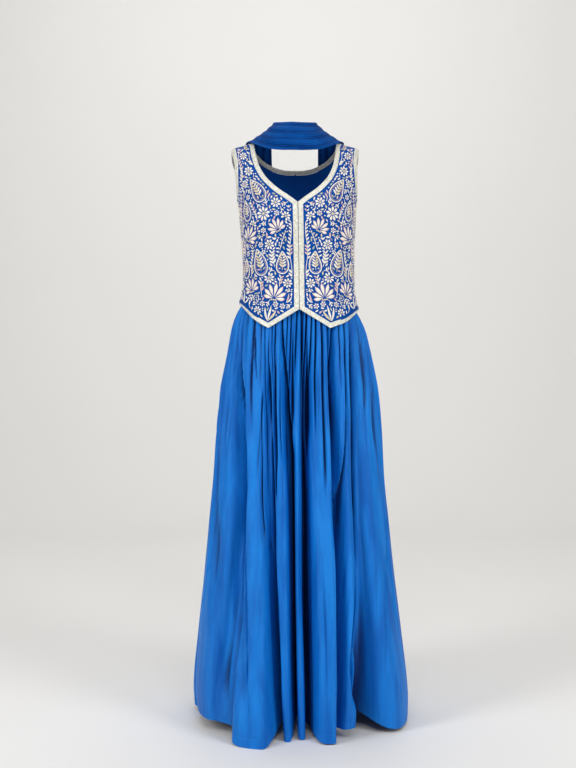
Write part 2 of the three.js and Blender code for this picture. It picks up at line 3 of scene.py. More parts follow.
import bpy
import numpy as np
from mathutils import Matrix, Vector


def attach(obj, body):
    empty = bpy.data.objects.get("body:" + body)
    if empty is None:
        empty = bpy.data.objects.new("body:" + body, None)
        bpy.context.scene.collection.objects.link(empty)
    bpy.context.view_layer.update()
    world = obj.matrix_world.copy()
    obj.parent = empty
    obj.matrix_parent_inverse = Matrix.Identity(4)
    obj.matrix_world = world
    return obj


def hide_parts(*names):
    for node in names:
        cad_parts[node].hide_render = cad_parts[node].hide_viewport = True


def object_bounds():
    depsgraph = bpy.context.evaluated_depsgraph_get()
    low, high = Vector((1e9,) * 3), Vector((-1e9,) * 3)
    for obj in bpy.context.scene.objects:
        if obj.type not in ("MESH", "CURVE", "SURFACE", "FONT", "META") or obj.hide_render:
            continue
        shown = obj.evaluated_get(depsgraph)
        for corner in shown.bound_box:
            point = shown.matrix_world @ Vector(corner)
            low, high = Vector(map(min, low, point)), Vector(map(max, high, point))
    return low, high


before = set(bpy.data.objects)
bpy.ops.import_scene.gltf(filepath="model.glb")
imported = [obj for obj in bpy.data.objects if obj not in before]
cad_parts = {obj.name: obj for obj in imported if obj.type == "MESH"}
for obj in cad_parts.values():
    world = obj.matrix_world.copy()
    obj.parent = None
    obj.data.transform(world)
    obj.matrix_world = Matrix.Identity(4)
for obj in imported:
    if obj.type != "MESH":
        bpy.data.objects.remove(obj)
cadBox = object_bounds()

# A lehenga set in its worn shape. The lengths below are millimetres and the heights are counted
# from the floor; toFrame() turns them into the frame's metres, with the waist at zero.
# A turn is an angle in degrees round the body: 0 in front, 90 at the wearer's left, 180 behind.
mm = 0.001
waistHeight = -cadBox[0].z / mm
print("frame loaded, waist at", round(waistHeight, 1))


# ---------- small helpers
def table(columns, *rows):  # named columns, one array each
    return {name: np.array([row[i] for row in rows], float) for i, name in enumerate(columns.split())}


def curveThrough(inputs, outputs):  # smooth curve that never overshoots its points
    inputs, outputs = np.asarray(inputs, float), np.asarray(outputs, float)
    secants = np.diff(outputs) / np.diff(inputs)
    slopes = np.empty(len(inputs))
    slopes[0], slopes[-1] = secants[0], secants[-1]
    before, after = secants[:-1], secants[1:]
    both = before * after
    total = np.where(both > 0, before + after, 1)
    slopes[1:-1] = np.where(both > 0, 2 * both / total, 0)

    def value(at):
        at = np.asarray(at, float)
        i = np.clip(np.searchsorted(inputs, at, side="right") - 1, 0, len(inputs) - 2)
        span = inputs[i + 1] - inputs[i]
        t = np.clip((at - inputs[i]) / span, 0, 1)
        rise = outputs[i + 1] - outputs[i]
        lead = t * (1 - t) ** 2 * slopes[i] - t * t * (1 - t) * slopes[i + 1]
        inside = outputs[i] + rise * t * t * (3 - 2 * t) + span * lead
        low = np.minimum(at - inputs[0], 0) * slopes[0]
        high = np.maximum(at - inputs[-1], 0) * slopes[-1]
        return inside + low + high

    return value


def smoothStep(low, high, value):
    t = np.clip((value - low) / (high - low), 0, 1)
    return t * t * (3 - 2 * t)


# How the set hangs: the shoulders lean to the wearer's right and the hips tilt a little.
hang = {
    "leanHeights": (0, 960, 1100, 1165, 1286, 1420, 1490),
    "leanShifts": (0, 0, -1, -2, -4.5, -10, -10.5),
    "tiltHeights": (0, 880, 1000, 1045, 1220, 1490),
    "tiltShares": (0, 0, 1, 1, 0, 0),
    "hipTilt": 8,
    "hipFrom": 70,
    "hipTo": 147,
}


def hung(points):
    x, height = points[..., 0], points[..., 2]
    side = np.sign(x) * smoothStep(hang["hipFrom"], hang["hipTo"], np.abs(x))
    moved = points.copy()
    moved[..., 0] += curveThrough(hang["leanHeights"], hang["leanShifts"])(height)
    moved[..., 2] -= hang["hipTilt"] * side * curveThrough(hang["tiltHeights"], hang["tiltShares"])(height)
    return moved


def toFrame(points):
    placed = np.array(points, float)
    placed[..., 2] -= waistHeight
    return placed * mm


def unit(vectors):
    return vectors / np.maximum(np.linalg.norm(vectors, axis=-1, keepdims=True), 1e-9)


# ---------- meshes: a sheet is a grid of points, and a wall gives it its thickness
def gridSheet(points):  # points[row, column], columns with a rising turn and rows upward
    rows, columns = points.shape[:2]
    across = np.gradient(points, axis=1)
    upward = np.gradient(points, axis=0)
    normals = unit(np.cross(across, upward))
    low = (np.arange(rows - 1)[:, None] * columns + np.arange(columns - 1)[None, :]).ravel()
    faces = np.column_stack([low, low + 1, low + columns + 1, low + columns])
    return {"points": points.reshape(-1, 3), "normals": normals.reshape(-1, 3), "faces": faces}


def mirrored(sheet):
    flip = np.array([-1.0, 1.0, 1.0])
    return {**sheet, "points": sheet["points"] * flip, "normals": sheet["normals"] * flip,
            "faces": sheet["faces"][:, ::-1]}


def joined(*sheets):
    offsets = np.cumsum([0] + [len(sheet["points"]) for sheet in sheets])
    return {
        "points": np.concatenate([sheet["points"] for sheet in sheets]),
        "normals": np.concatenate([sheet["normals"] for sheet in sheets]),
        "faces": np.concatenate([sheet["faces"] + offset for sheet, offset in zip(sheets, offsets)]),
    }


def welded(sheet):  # points that lie together become one
    keys = np.round(sheet["points"] * 50).astype(np.int64)
    _, first, places = np.unique(keys, axis=0, return_index=True, return_inverse=True)
    places = places.ravel()
    normals = np.zeros((len(first), 3))
    np.add.at(normals, places, sheet["normals"])
    faces = places[sheet["faces"]]
    result = {"points": sheet["points"][first], "normals": unit(normals), "faces": faces}
    # the painted fold shade mask follows its points
    if "foldShadeMask" in sheet:
        result["foldShadeMask"] = sheet["foldShadeMask"].ravel()[first]
    return result


def newMesh(name, points, faces, creaseAngle=50):
    mesh = bpy.data.meshes.new(name)
    mesh.vertices.add(len(points))
    mesh.vertices.foreach_set("co", toFrame(points).ravel())
    mesh.loops.add(faces.size)
    mesh.loops.foreach_set("vertex_index", faces.ravel().astype(np.int32))
    mesh.polygons.add(len(faces))
    mesh.polygons.foreach_set("loop_start", np.arange(len(faces), dtype=np.int32) * faces.shape[1])
    mesh.polygons.foreach_set("use_smooth", np.ones(len(faces), bool))
    mesh.update(calc_edges=True)
    mesh.validate()
    mesh.set_sharp_from_angle(angle=math.radians(creaseAngle))
    piece = bpy.data.objects.new(name, mesh)
    bpy.context.collection.objects.link(piece)
    return piece


def clothWall(name, loose, thickness):  # outer face, inner face and a rim along every edge
    sheet = welded(loose)
    points, faces = sheet["points"], sheet["faces"]
    count = len(points)
    inner = points - sheet["normals"] * thickness
    edges = np.concatenate([faces[:, [i, (i + 1) % 4]] for i in range(4)])
    edges = edges[edges[:, 0] != edges[:, 1]]
    codes = edges[:, 0] * count + edges[:, 1]
    reverse = edges[:, 1] * count + edges[:, 0]
    border = edges[~np.isin(codes, reverse)]
    rim = np.column_stack([border[:, 0] + count, border[:, 1] + count, border[:, 1], border[:, 0]])
    allFaces = np.concatenate([faces, faces[:, ::-1] + count, rim])
    piece = newMesh(name, hung(np.concatenate([points, inner])), allFaces)
    # the fold shade mask, carried on both faces, paints shade into the fold valleys
    if "foldShadeMask" in sheet:
        depth = piece.data.attributes.new("foldShadeMask", "FLOAT", "POINT")
        depth.data.foreach_set("value", np.tile(sheet["foldShadeMask"], 2).astype(np.float32))
    return piece


def setUp(piece, material, slot, *nodes):  # every piece rides on the one body of the set
    piece.data.materials.append(material)
    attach(piece, "root")
    if nodes:
        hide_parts(*nodes)
    return piece


# ---------- camera, floor and lights
camera = {"height": 828, "distance": 2700, "sideways": -27.7, "focalPixels": 1072.3, "longSide": 768}
studio = {"floorReach": 6.0, "wallAway": 3.2, "bendRadius": 1.6, "wallHeight": 5.0}


def makeCamera():
    data = bpy.data.cameras.new("photoCamera")
    data.sensor_width = 36
    data.lens = data.sensor_width * camera["focalPixels"] / camera["longSide"]
    data.clip_start = 0.05
    item = bpy.data.objects.new("photoCamera", data)
    bpy.context.collection.objects.link(item)
    item.location = toFrame([camera["sideways"], -camera["distance"], camera["height"]])
    item.rotation_euler = (math.pi / 2, 0, 0)
    bpy.context.scene.camera = item


def makeBackdrop(material):  # floor that bends up into a wall
    reach, away, radius = studio["floorReach"], studio["wallAway"], studio["bendRadius"]
    turns = np.linspace(0, math.pi / 2, 24)
    depths = np.concatenate([[-reach], away + radius * np.sin(turns), [away + radius]])
    heights = np.concatenate([[0], radius - radius * np.cos(turns), [studio["wallHeight"]]])
    sides = np.linspace(-reach, reach, 5)
    points = np.array([[[x, y, z] for x in sides] for y, z in zip(depths, heights)])
    points = points / mm
    sheet = gridSheet(points)
    floor = newMesh("backdrop", sheet["points"], sheet["faces"])
    floor.data.materials.append(material)


def addLight(name, place, aim, size, power):
    data = bpy.data.lights.new(name, "AREA")
    data.shape = "RECTANGLE"
    data.size, data.size_y = size
    data.energy = power
    item = bpy.data.objects.new(name, data)
    bpy.context.collection.objects.link(item)
    item.location = place
    item.rotation_euler = (Vector(aim) - Vector(place)).to_track_quat("-Z", "Y").to_euler()


def makeLights():
    world = bpy.data.worlds.new("studio")
    world.use_nodes = True
    background = world.node_tree.nodes["Background"]
    background.inputs["Color"].default_value = (1.0, 0.99, 0.97, 1)
    background.inputs["Strength"].default_value = 0.26
    bpy.context.scene.world = world
    addLight("left", (-2.9, -2.3, 1.3), (0, 0, -0.5), (1.3, 2.2), 70)
    addLight("right", (2.7, -2.5, 1.3), (0, 0, -0.5), (1.3, 2.2), 60)
    addLight("front", (0.2, -3.4, 2.2), (0, 0, -0.4), (2.4, 1.4), 44)
    addLight("wall", (0, 1.6, 3.6), (0, 4.2, -0.4), (4.5, 1.0), 76)
    bpy.context.scene.view_settings.view_transform = "Standard"
    bpy.context.scene.view_settings.look = "None"


# ---------- shader helpers
def linear(red, green, blue):  # screen colour, 0 to 255, as the shader's own colour
    values = np.array([red, green, blue]) / 255
    low, high = values / 12.92, ((values + 0.055) / 1.055) ** 2.4
    return (*np.where(values <= 0.04045, low, high).tolist(), 1)


def newGroup(name, inputs, outputs):
    group = bpy.data.node_groups.new(name, "ShaderNodeTree")
    for label, kind, value in inputs:
        socket = group.interface.new_socket(label, in_out="INPUT", socket_type=kind)
        socket.default_value = value
    for label, kind in outputs:
        group.interface.new_socket(label, in_out="OUTPUT", socket_type=kind)
    return group


class Wires:  # adds nodes to a tree and joins them
    def __init__(self, tree):
        self.tree = tree

    def add(self, kind, **settings):
        node = self.tree.nodes.new(kind)
        for name, value in settings.items():
            setattr(node, name, value)
        return node

    def math(self, operation, *values):
        node = self.add("ShaderNodeMath", operation=operation)
        for socket, value in zip(node.inputs, values):
            self.feed(socket, value)
        return node.outputs[0]

    def feed(self, socket, value):
        if hasattr(value, "is_output"):
            self.tree.links.new(value, socket)
        else:
            socket.default_value = value

    def mix(self, share, first, second):
        node = self.add("ShaderNodeMix", data_type="RGBA")
        self.feed(node.inputs["Factor"], share)
        self.feed(node.inputs[6], first)
        self.feed(node.inputs[7], second)
        return node.outputs[2]


def makeWeaveGroup():  # crossing threads as a height, with slubs that thicken here and there
    group = newGroup(
        "clothWeave",
        [
            ("Thread Pitch", "NodeSocketFloat", 0.0006),
            ("Slub", "NodeSocketFloat", 0.3),
            ("Crinkle", "NodeSocketFloat", 0.0),
        ],
        [("Height", "NodeSocketFloat"), ("Slub Mask", "NodeSocketFloat")],
    )
    wires = Wires(group)
    given = wires.add("NodeGroupInput")
    place = wires.add("ShaderNodeTexCoord").outputs["Object"]
    split = wires.add("ShaderNodeSeparateXYZ")
    wires.feed(split.inputs[0], place)
    rate = wires.math("DIVIDE", 2 * math.pi, given.outputs["Thread Pitch"])
    aroundPlace = wires.math("ADD", split.outputs[0], wires.math("MULTIPLY", split.outputs[1], 0.83))
    warp = wires.math("SINE", wires.math("MULTIPLY", aroundPlace, rate))
    weft = wires.math("SINE", wires.math("MULTIPLY", split.outputs[2], rate))
    threads = wires.math("MULTIPLY", warp, weft)
    stretched = wires.add("ShaderNodeVectorMath", operation="MULTIPLY")
    wires.feed(stretched.inputs[0], place)
    stretched.inputs[1].default_value = (260, 260, 18)
    slubs = wires.add("ShaderNodeTexNoise")
    slubs.inputs["Scale"].default_value = 1
    slubs.inputs["Detail"].default_value = 3
    wires.feed(slubs.inputs["Vector"], stretched.outputs[0])
    mask = wires.math("MULTIPLY", slubs.outputs["Fac"], given.outputs["Slub"])
    drawn = wires.add("ShaderNodeVectorMath", operation="MULTIPLY")
    wires.feed(drawn.inputs[0], place)
    drawn.inputs[1].default_value = (75, 75, 7)
    wrinkles = wires.add("ShaderNodeTexNoise")
    wrinkles.inputs["Scale"].default_value = 1
    wrinkles.inputs["Detail"].default_value = 4
    wires.feed(wrinkles.inputs["Vector"], drawn.outputs[0])
    crinkled = wires.math("MULTIPLY", wrinkles.outputs["Fac"], given.outputs["Crinkle"])
    height = wires.math("ADD", wires.math("MULTIPLY", threads, 0.5), wires.math("ADD", mask, crinkled))
    out = wires.add("NodeGroupOutput")
    wires.feed(out.inputs["Height"], height)
    wires.feed(out.inputs["Slub Mask"], mask)
    return group


def makeToneGroup():  # uneven dye and handling marks as a share between two colours
    group = newGroup(
        "dyeTone",
        [
            ("Patch Size", "NodeSocketFloat", 0.2),
            ("Contrast", "NodeSocketFloat", 0.5),
            ("Upright Scale", "NodeSocketFloat", 1.0),
        ],
        [("Share", "NodeSocketFloat")],
    )
    wires = Wires(group)
    given = wires.add("NodeGroupInput")
    place = wires.add("ShaderNodeTexCoord").outputs["Object"]
    scaling = wires.add("ShaderNodeCombineXYZ")
    scaling.inputs[0].default_value = 1
    scaling.inputs[1].default_value = 1
    wires.feed(scaling.inputs[2], given.outputs["Upright Scale"])
    drawn = wires.add("ShaderNodeVectorMath", operation="MULTIPLY")
    wires.feed(drawn.inputs[0], place)
    wires.feed(drawn.inputs[1], scaling.outputs[0])
    patches = wires.add("ShaderNodeTexNoise")
    wires.feed(patches.inputs["Vector"], drawn.outputs[0])
    wires.feed(patches.inputs["Scale"], wires.math("DIVIDE", 1, given.outputs["Patch Size"]))
    patches.inputs["Detail"].default_value = 4
    centred = wires.math("SUBTRACT", patches.outputs["Fac"], 0.5)
    scaled = wires.math("MULTIPLY", centred, given.outputs["Contrast"])
    share = wires.add("ShaderNodeClamp")
    wires.feed(share.inputs[0], wires.math("ADD", scaled, 0.5))
    out = wires.add("NodeGroupOutput")
    wires.feed(out.inputs["Share"], share.outputs[0])
    return group


weaveGroup = makeWeaveGroup()
toneGroup = makeToneGroup()


def clothMaterial(name, light, dark, pitch, slub, bump, roughness, roughChange=0.1, metallic=0, sheen=0.2,
                  patch=0.2, contrast=1.2, specular=0.2, foldShadeColour=None,
                  crinkle=0.0, uprightScale=1.0):
    material = bpy.data.materials.new(name)
    material.use_nodes = True
    wires = Wires(material.node_tree)
    shader = material.node_tree.nodes["Principled BSDF"]
    weave = wires.add("ShaderNodeGroup", node_tree=weaveGroup)
    weave.inputs["Thread Pitch"].default_value = pitch
    weave.inputs["Slub"].default_value = slub
    weave.inputs["Crinkle"].default_value = crinkle
    tone = wires.add("ShaderNodeGroup", node_tree=toneGroup)
    tone.inputs["Patch Size"].default_value = patch
    tone.inputs["Contrast"].default_value = contrast
    tone.inputs["Upright Scale"].default_value = uprightScale
    dyeAndFoldShade = wires.mix(tone.outputs["Share"], dark, light)
    if foldShadeColour:  # painted shade: the colour darkens toward a navy at the bottom of the folds, as far as the fold shade mask says
        depth = wires.add("ShaderNodeAttribute", attribute_name="foldShadeMask").outputs["Fac"]
        dyeAndFoldShade = wires.mix(depth, dyeAndFoldShade, foldShadeColour)
    wires.feed(shader.inputs["Base Color"], dyeAndFoldShade)
    spread = wires.math("MULTIPLY", weave.outputs["Slub Mask"], roughChange)
    wires.feed(shader.inputs["Roughness"], wires.math("ADD", spread, roughness))
    shader.inputs["Metallic"].default_value = metallic
    shader.inputs["Sheen Weight"].default_value = sheen
    shader.inputs["Sheen Roughness"].default_value = 0.4
    shader.inputs["Specular IOR Level"].default_value = specular
    relief = wires.add("ShaderNodeBump")
    relief.inputs["Strength"].default_value = 0.6
    relief.inputs["Distance"].default_value = bump
    wires.feed(relief.inputs["Height"], weave.outputs["Height"])
    wires.feed(shader.inputs["Normal"], relief.outputs[0])
    return material


def makeThreadGroup():  # satin stitches side by side along each stroke, in its own length
    group = newGroup(
        "threadStitch",
        [("Stitch Pitch", "NodeSocketFloat", 0.7), ("Unevenness", "NodeSocketFloat", 0.6)],
        [("Height", "NodeSocketFloat"), ("Share", "NodeSocketFloat")],
    )
    wires = Wires(group)
    given = wires.add("NodeGroupInput")
    marks = wires.add("ShaderNodeUVMap", uv_map="stitches").outputs[0]
    split = wires.add("ShaderNodeSeparateXYZ")
    wires.feed(split.inputs[0], marks)
    aside = wires.math("MULTIPLY", wires.math("ABSOLUTE", split.outputs[1]), 0.6)
    slant = wires.math("ADD", split.outputs[0], aside)
    rate = wires.math("DIVIDE", 2 * math.pi, given.outputs["Stitch Pitch"])
    ridges = wires.math("SINE", wires.math("MULTIPLY", slant, rate))
    spots = wires.add("ShaderNodeTexNoise")
    spots.inputs["Scale"].default_value = 140
    spots.inputs["Detail"].default_value = 2
    wires.feed(spots.inputs["Vector"], wires.add("ShaderNodeTexCoord").outputs["Object"])
    centred = wires.math("SUBTRACT", spots.outputs["Fac"], 0.5)
    uneven = wires.math("MULTIPLY", centred, given.outputs["Unevenness"])
    share = wires.add("ShaderNodeClamp")
    # painted sheen: the colour lightens and darkens along the stitch ridges, and random spots vary it as well
    paintedSheenAndSpots = wires.math("ADD", wires.math("MULTIPLY", ridges, 0.25), wires.math("ADD", uneven, 0.6))
    wires.feed(share.inputs[0], paintedSheenAndSpots)
    out = wires.add("NodeGroupOutput")
    wires.feed(out.inputs["Height"], wires.math("ADD", ridges, uneven))
    wires.feed(out.inputs["Share"], share.outputs[0])
    return group


threadGroup = makeThreadGroup()


def threadMaterial(name, light, dark, metallic=0.0):
    material = bpy.data.materials.new(name)
    material.use_nodes = True
    wires = Wires(material.node_tree)
    shader = material.node_tree.nodes["Principled BSDF"]
    stitches = wires.add("ShaderNodeGroup", node_tree=threadGroup)
    wires.feed(shader.inputs["Base Color"], wires.mix(stitches.outputs["Share"], dark, light))
    shader.inputs["Roughness"].default_value = 0.5
    shader.inputs["Metallic"].default_value = metallic
    shader.inputs["Specular IOR Level"].default_value = 0.35
    relief = wires.add("ShaderNodeBump")
    relief.inputs["Strength"].default_value = 0.5
    relief.inputs["Distance"].default_value = 0.00015
    wires.feed(relief.inputs["Height"], stitches.outputs["Height"])
    wires.feed(shader.inputs["Normal"], relief.outputs[0])
    return material


def floorMaterial():
    material = bpy.data.materials.new("studioFloor")
    material.use_nodes = True
    wires = Wires(material.node_tree)
    shader = material.node_tree.nodes["Principled BSDF"]
    tone = wires.add("ShaderNodeGroup", node_tree=toneGroup)
    tone.inputs["Patch Size"].default_value = 1.4
    tone.inputs["Contrast"].default_value = 0.8
    paint = wires.mix(tone.outputs["Share"], (0.87, 0.86, 0.84, 1), (0.92, 0.91, 0.89, 1))
    wires.feed(shader.inputs["Base Color"], paint)
    shader.inputs["Roughness"].default_value = 0.6
    return material


# ---------- body sections, as the solids have them
sectionPower = 2.4
bodiceRows = table(
    "height halfWidth front back middle",
    (955, 152, 124, 110, 0),
    (1019, 149, 114, 106, 0),
    (1070, 141, 108, 99, 0),
    (1125, 140, 108, 98, 0),
    (1180, 142, 116, 101, 1),
    (1240, 146, 125, 105, 2),
    (1300, 151, 119, 108, 5),
    (1350, 166, 100, 104, 8),
    (1390, 170, 80, 90, 11),
    (1417, 160, 62, 70, 14),
    (1436, 100, 48, 54, 16),
)
skirtRows = table(
    "height halfWidth front back",
    (0, 264, 256, 248),
    (60, 268, 251, 244),
    (108, 266, 246, 240),
    (183, 259, 236, 232),
    (284, 249, 222, 220),
    (385, 238, 206, 208),
    (511, 226, 187, 194),
    (611, 216, 172, 182),
    (712, 207, 158, 170),
    (813, 195, 143, 155),
    (863, 184, 134, 144),
    (914, 173, 124, 132),
    (964, 162, 112, 117),
    (1000, 148, 104, 102),
    (1019, 138, 102, 97),
    (1037, 135, 101, 95),
)


def shapeOf(rows):
    shape = {name: curveThrough(rows["height"], rows[name]) for name in rows if name != "height"}
    shape.setdefault("middle", lambda height: np.zeros_like(np.asarray(height, float)))
    return shape


bodice = shapeOf(bodiceRows)
skirtShape = shapeOf(skirtRows)


def sectionPoint(shape, turn, height, out=0.0):
    angle = np.radians(turn)
    depth = np.where(np.cos(angle) > 0, shape["front"](height), shape["back"](height))
    lengthwise = np.abs(np.cos(angle) / depth) ** sectionPower
    sideways = np.abs(np.sin(angle) / shape["halfWidth"](height)) ** sectionPower
    radius = (lengthwise + sideways) ** (-1 / sectionPower) + out
    height = np.broadcast_to(height, np.shape(radius))
    y = shape["middle"](height) - radius * np.cos(angle)
    return np.stack([radius * np.sin(angle), y, height], axis=-1)


def depthAtX(shape, x, height, side):
    reach = np.minimum(1, np.abs(x) / shape["halfWidth"](height))
    return shape[side](height) * (1 - reach**sectionPower) ** (1 / sectionPower)


def turnAtX(x, height, side="front"):
    turn = np.degrees(np.arctan2(x, depthAtX(bodice, x, height, side)))
    return turn if side == "front" else 180 - turn


def bodiceNormal(turn, height, step=0.5):
    across = sectionPoint(bodice, turn + step, height) - sectionPoint(bodice, turn - step, height)
    upward = sectionPoint(bodice, turn, height + step) - sectionPoint(bodice, turn, height - step)
    return unit(np.cross(across, upward))


# ---------- waistcoat outlines, each as turn and height on the bodice
waistcoat = {
    "bandWidth": 12,
    "seamGap": 0.3,
    "thickness": 1.6,
    "edgeX": 0.6,
    "hemPointX": 75,
    "hemPointHeight": 963,
    "notchHeight": 1008,
    "hemSideHeight": 1019,
    "shoulderNeckHeight": 1434,
    "shoulderArmHeight": 1417,
}
shoulderNeckX = float(bodice["halfWidth"](waistcoat["shoulderNeckHeight"]))
cornerRow, shoulderRow = 5, 14
frontRows = table(
    "row neckX neckHeight armTurn armHeight",
    (0, waistcoat["edgeX"], waistcoat["notchHeight"], 90, waistcoat["hemSideHeight"]),
    (1, waistcoat["edgeX"], 1050, 90, 1055),
    (2, waistcoat["edgeX"], 1110, 90, 1125),
    (3, waistcoat["edgeX"], 1160, 90, 1180),
    (4, waistcoat["edgeX"], 1210, 90, 1240),
    (5, waistcoat["edgeX"], 1267, 90, 1300),
    (6, 17, 1280, 82, 1305),
    (7, 47, 1302, 75, 1318),
    (8, 77, 1335, 71.5, 1340),
    (9, 90, 1362, 72, 1365),
    (10, 97, 1390, 75, 1388),
    (11, 100, 1410, 80, 1405),
    (12, 102, 1424, 83, 1411),
    (13, 105.5, 1431, 85.5, 1413.5),
    (14, shoulderNeckX, waistcoat["shoulderNeckHeight"], 90, waistcoat["shoulderArmHeight"]),
)
backRows = table(
    "row neckX neckHeight armTurn armHeight",
    (0, 0, waistcoat["hemSideHeight"], 90, waistcoat["hemSideHeight"]),
    (1, 0, 1060, 90, 1055),
    (2, 0, 1130, 90, 1125),
    (3, 0, 1210, 90, 1180),
    (4, 0, 1300, 90, 1240),
    (5, 0, 1385, 90, 1300),
    (6, 20, 1385.5, 98, 1305),
    (7, 38, 1388, 105, 1318),
    (8, 56, 1393.5, 109, 1340),
    (9, 72, 1400.5, 108, 1365),
    (10, 86, 1409.5, 104, 1388),
    (11, 96, 1419, 99, 1405),
    (12, 102, 1426, 96, 1411),
    (13, 105.5, 1431, 94, 1413.5),
    (14, shoulderNeckX, waistcoat["shoulderNeckHeight"], 90, waistcoat["shoulderArmHeight"]),
)
hemInnerLine = curveThrough(
    [waistcoat["edgeX"], waistcoat["hemPointX"]], [waistcoat["notchHeight"], waistcoat["hemPointHeight"]]
)
hemOuterLine = curveThrough(
    [waistcoat["hemPointX"], 112, float(bodice["halfWidth"](waistcoat["hemSideHeight"]))],
    [waistcoat["hemPointHeight"], 982, waistcoat["hemSideHeight"]],
)


def hemHeight(x):
    return np.where(x < waistcoat["hemPointX"], hemInnerLine(x), hemOuterLine(x))


def outlineOf(rows, side):  # straight up to the corner row, and smooth beyond it
    def columnAt(name, row):
        below = curveThrough(rows["row"][: cornerRow + 1], rows[name][: cornerRow + 1])
        above = curveThrough(rows["row"][cornerRow:], rows[name][cornerRow:])
        return np.where(row < cornerRow, below(row), above(row))

    def neck(row):
        height = columnAt("neckHeight", row)
        turn = turnAtX(columnAt("neckX", row), height, side)
        return np.stack([np.where(row >= shoulderRow, 90, turn), height], axis=-1)

    def arm(row):
        return np.stack([columnAt("armTurn", row), columnAt("armHeight", row)], axis=-1)

    return {"neck": neck, "arm": arm}


frontOutline = outlineOf(frontRows, "front")
backOutline = outlineOf(backRows, "back")


def inset(run, distance, first=None, last=None):  # moves a run sideways over the bodice, mitred
    turns, heights = run[:, 0], run[:, 1]
    here = sectionPoint(bodice, turns, heights)
    normal = bodiceNormal(turns, heights)
    ends = [here[0] if first is None else sectionPoint(bodice, first[0], first[1])]
    ends.append(here[-1] if last is None else sectionPoint(bodice, last[0], last[1]))
    lead = here - np.vstack([ends[0][None], here[:-1]])
    follow = np.vstack([here[1:], ends[1][None]]) - here
    if first is None:
        lead[0] = follow[0]
    if last is None:
        follow[-1] = lead[-1]
    leadSide, followSide = unit(np.cross(normal, lead)), unit(np.cross(normal, follow))
    share = distance / (1 + np.sum(leadSide * followSide, axis=-1, keepdims=True))
    moved = here + (leadSide + followSide) * share
    turn = np.degrees(np.arctan2(moved[:, 0], bodice["middle"](moved[:, 2]) - moved[:, 1]))
    return np.column_stack([np.where(turn < -1, turn + 360, turn), moved[:, 2]])


def across(place):  # the same place on the other side of the centre back
    return np.array([360 - place[0], place[1]])


lowerRows = np.array([0, 0.5, 1, 2, 3, 4, 4.5])
upperRows = np.array([5, 5.5, 6, 7, 7.5, 8, 9, 10, 11, 12, 13, 14])
wallRows = np.concatenate([lowerRows, upperRows])
overRows = upperRows[::-1][1:]
# A run's position counts rows up the front and goes on past the shoulder down the back.
neckPositions = np.concatenate([wallRows, 2 * shoulderRow - overRows])
neckRun = np.concatenate([frontOutline["neck"](wallRows), backOutline["neck"](overRows)])
armPositions = np.concatenate([upperRows, 2 * shoulderRow - overRows])
armRun = np.concatenate([frontOutline["arm"](upperRows), backOutline["arm"](overRows)])


def runCurve(positions, places, corners):  # smooth between the corners of a run
    stops = [positions[0], *corners, positions[-1]]

    def value(at):
        at = np.asarray(at, float)
        result = np.zeros((*at.shape, 2))
        for low, high in zip(stops[:-1], stops[1:]):
            part = (positions >= low) & (positions <= high)
            inside = (at >= low) & (at <= high)
            for i in range(2):
                result[inside, i] = curveThrough(positions[part], places[part, i])(at[inside])
        return result

    return value


def frontCorner(width):  # the mitred corner of the bands at the foot of the centre front
    x = waistcoat["edgeX"] + width
    rise = waistcoat["hemPointHeight"] - waistcoat["notchHeight"]
    slope = rise / (waistcoat["hemPointX"] - waistcoat["edgeX"])
    height = float(hemHeight(x)) + width * math.hypot(1, slope)
    return np.array([float(turnAtX(x, height)), height])


def neckCurve(distance):
    places = inset(neckRun, -distance, last=across(neckRun[-2])) if distance else neckRun.copy()
    if distance:
        places[0] = frontCorner(distance)
    return runCurve(neckPositions, places, [cornerRow])


def armCurve(distance):
    closed = armRun[:-1]
    places = inset(closed, distance, first=closed[-1], last=closed[0]) if distance else closed
    return runCurve(armPositions, np.vstack([places, places[:1]]), [])


pointTurn = float(turnAtX(waistcoat["hemPointX"], waistcoat["hemPointHeight"]))
startTurn = float(turnAtX(waistcoat["edgeX"], waistcoat["notchHeight"]))
hemTurns = np.concatenate([
    np.linspace(startTurn, pointTurn, 4),
    np.linspace(pointTurn, 90, 7)[1:],
    np.linspace(90, 180, 8)[1:],
])


def hemPlaces(turns):
    heights = np.full(len(turns), float(waistcoat["hemSideHeight"]))
    for _ in range(4):
        found = hemHeight(sectionPoint(bodice, turns, heights)[:, 0])
        heights = np.where(turns < 90, found, heights)
    return np.column_stack([turns, heights])


hemRun = hemPlaces(hemTurns)


def hemCurve(distance, shift=0.0):  # position is the turn of the finished edge
    places = inset(hemRun, distance, last=across(hemRun[-2])) if distance else hemRun.copy()
    if distance:
        places[0] = frontCorner(distance)
    places[0, 0] += shift
    return runCurve(hemTurns, places, [pointTurn])


def onBodice(places, lift=0.0):
    points = sectionPoint(bodice, places[..., 0], places[..., 1])
    return points + bodiceNormal(places[..., 0], places[..., 1]) * np.asarray(lift)[..., None]


def patch(left, right, bottom, top, heightShare, s, t):  # a surface between four outlines
    w, t = np.stack([s, heightShare], axis=-1)[None], t[:, None, None]
    acrossRows = (1 - t) * bottom[None] + t * top[None]
    acrossColumns = (1 - w) * left[:, None] + w * right[:, None]
    lower = (1 - w) * (1 - t) * left[0] + w * (1 - t) * right[0]
    corners = lower + (1 - w) * t * left[-1] + w * t * right[-1]
    return acrossRows + acrossColumns - corners


def sideSeam(outline, rows):
    return outline["arm"](rows) * [0, 1] + [90, 0]


panelInset = waistcoat["bandWidth"] + waistcoat["seamGap"]
fineRows = np.unique(np.concatenate([np.linspace(0, 5, 50), np.linspace(5, 14, 60)]))


def easedAtSeams(points, direction):  # half the gap between the pieces
    points[:, -1, 1] += direction * waistcoat["seamGap"] / 2
    points[-1, :, 1] += direction * waistcoat["seamGap"] / 2
    return points


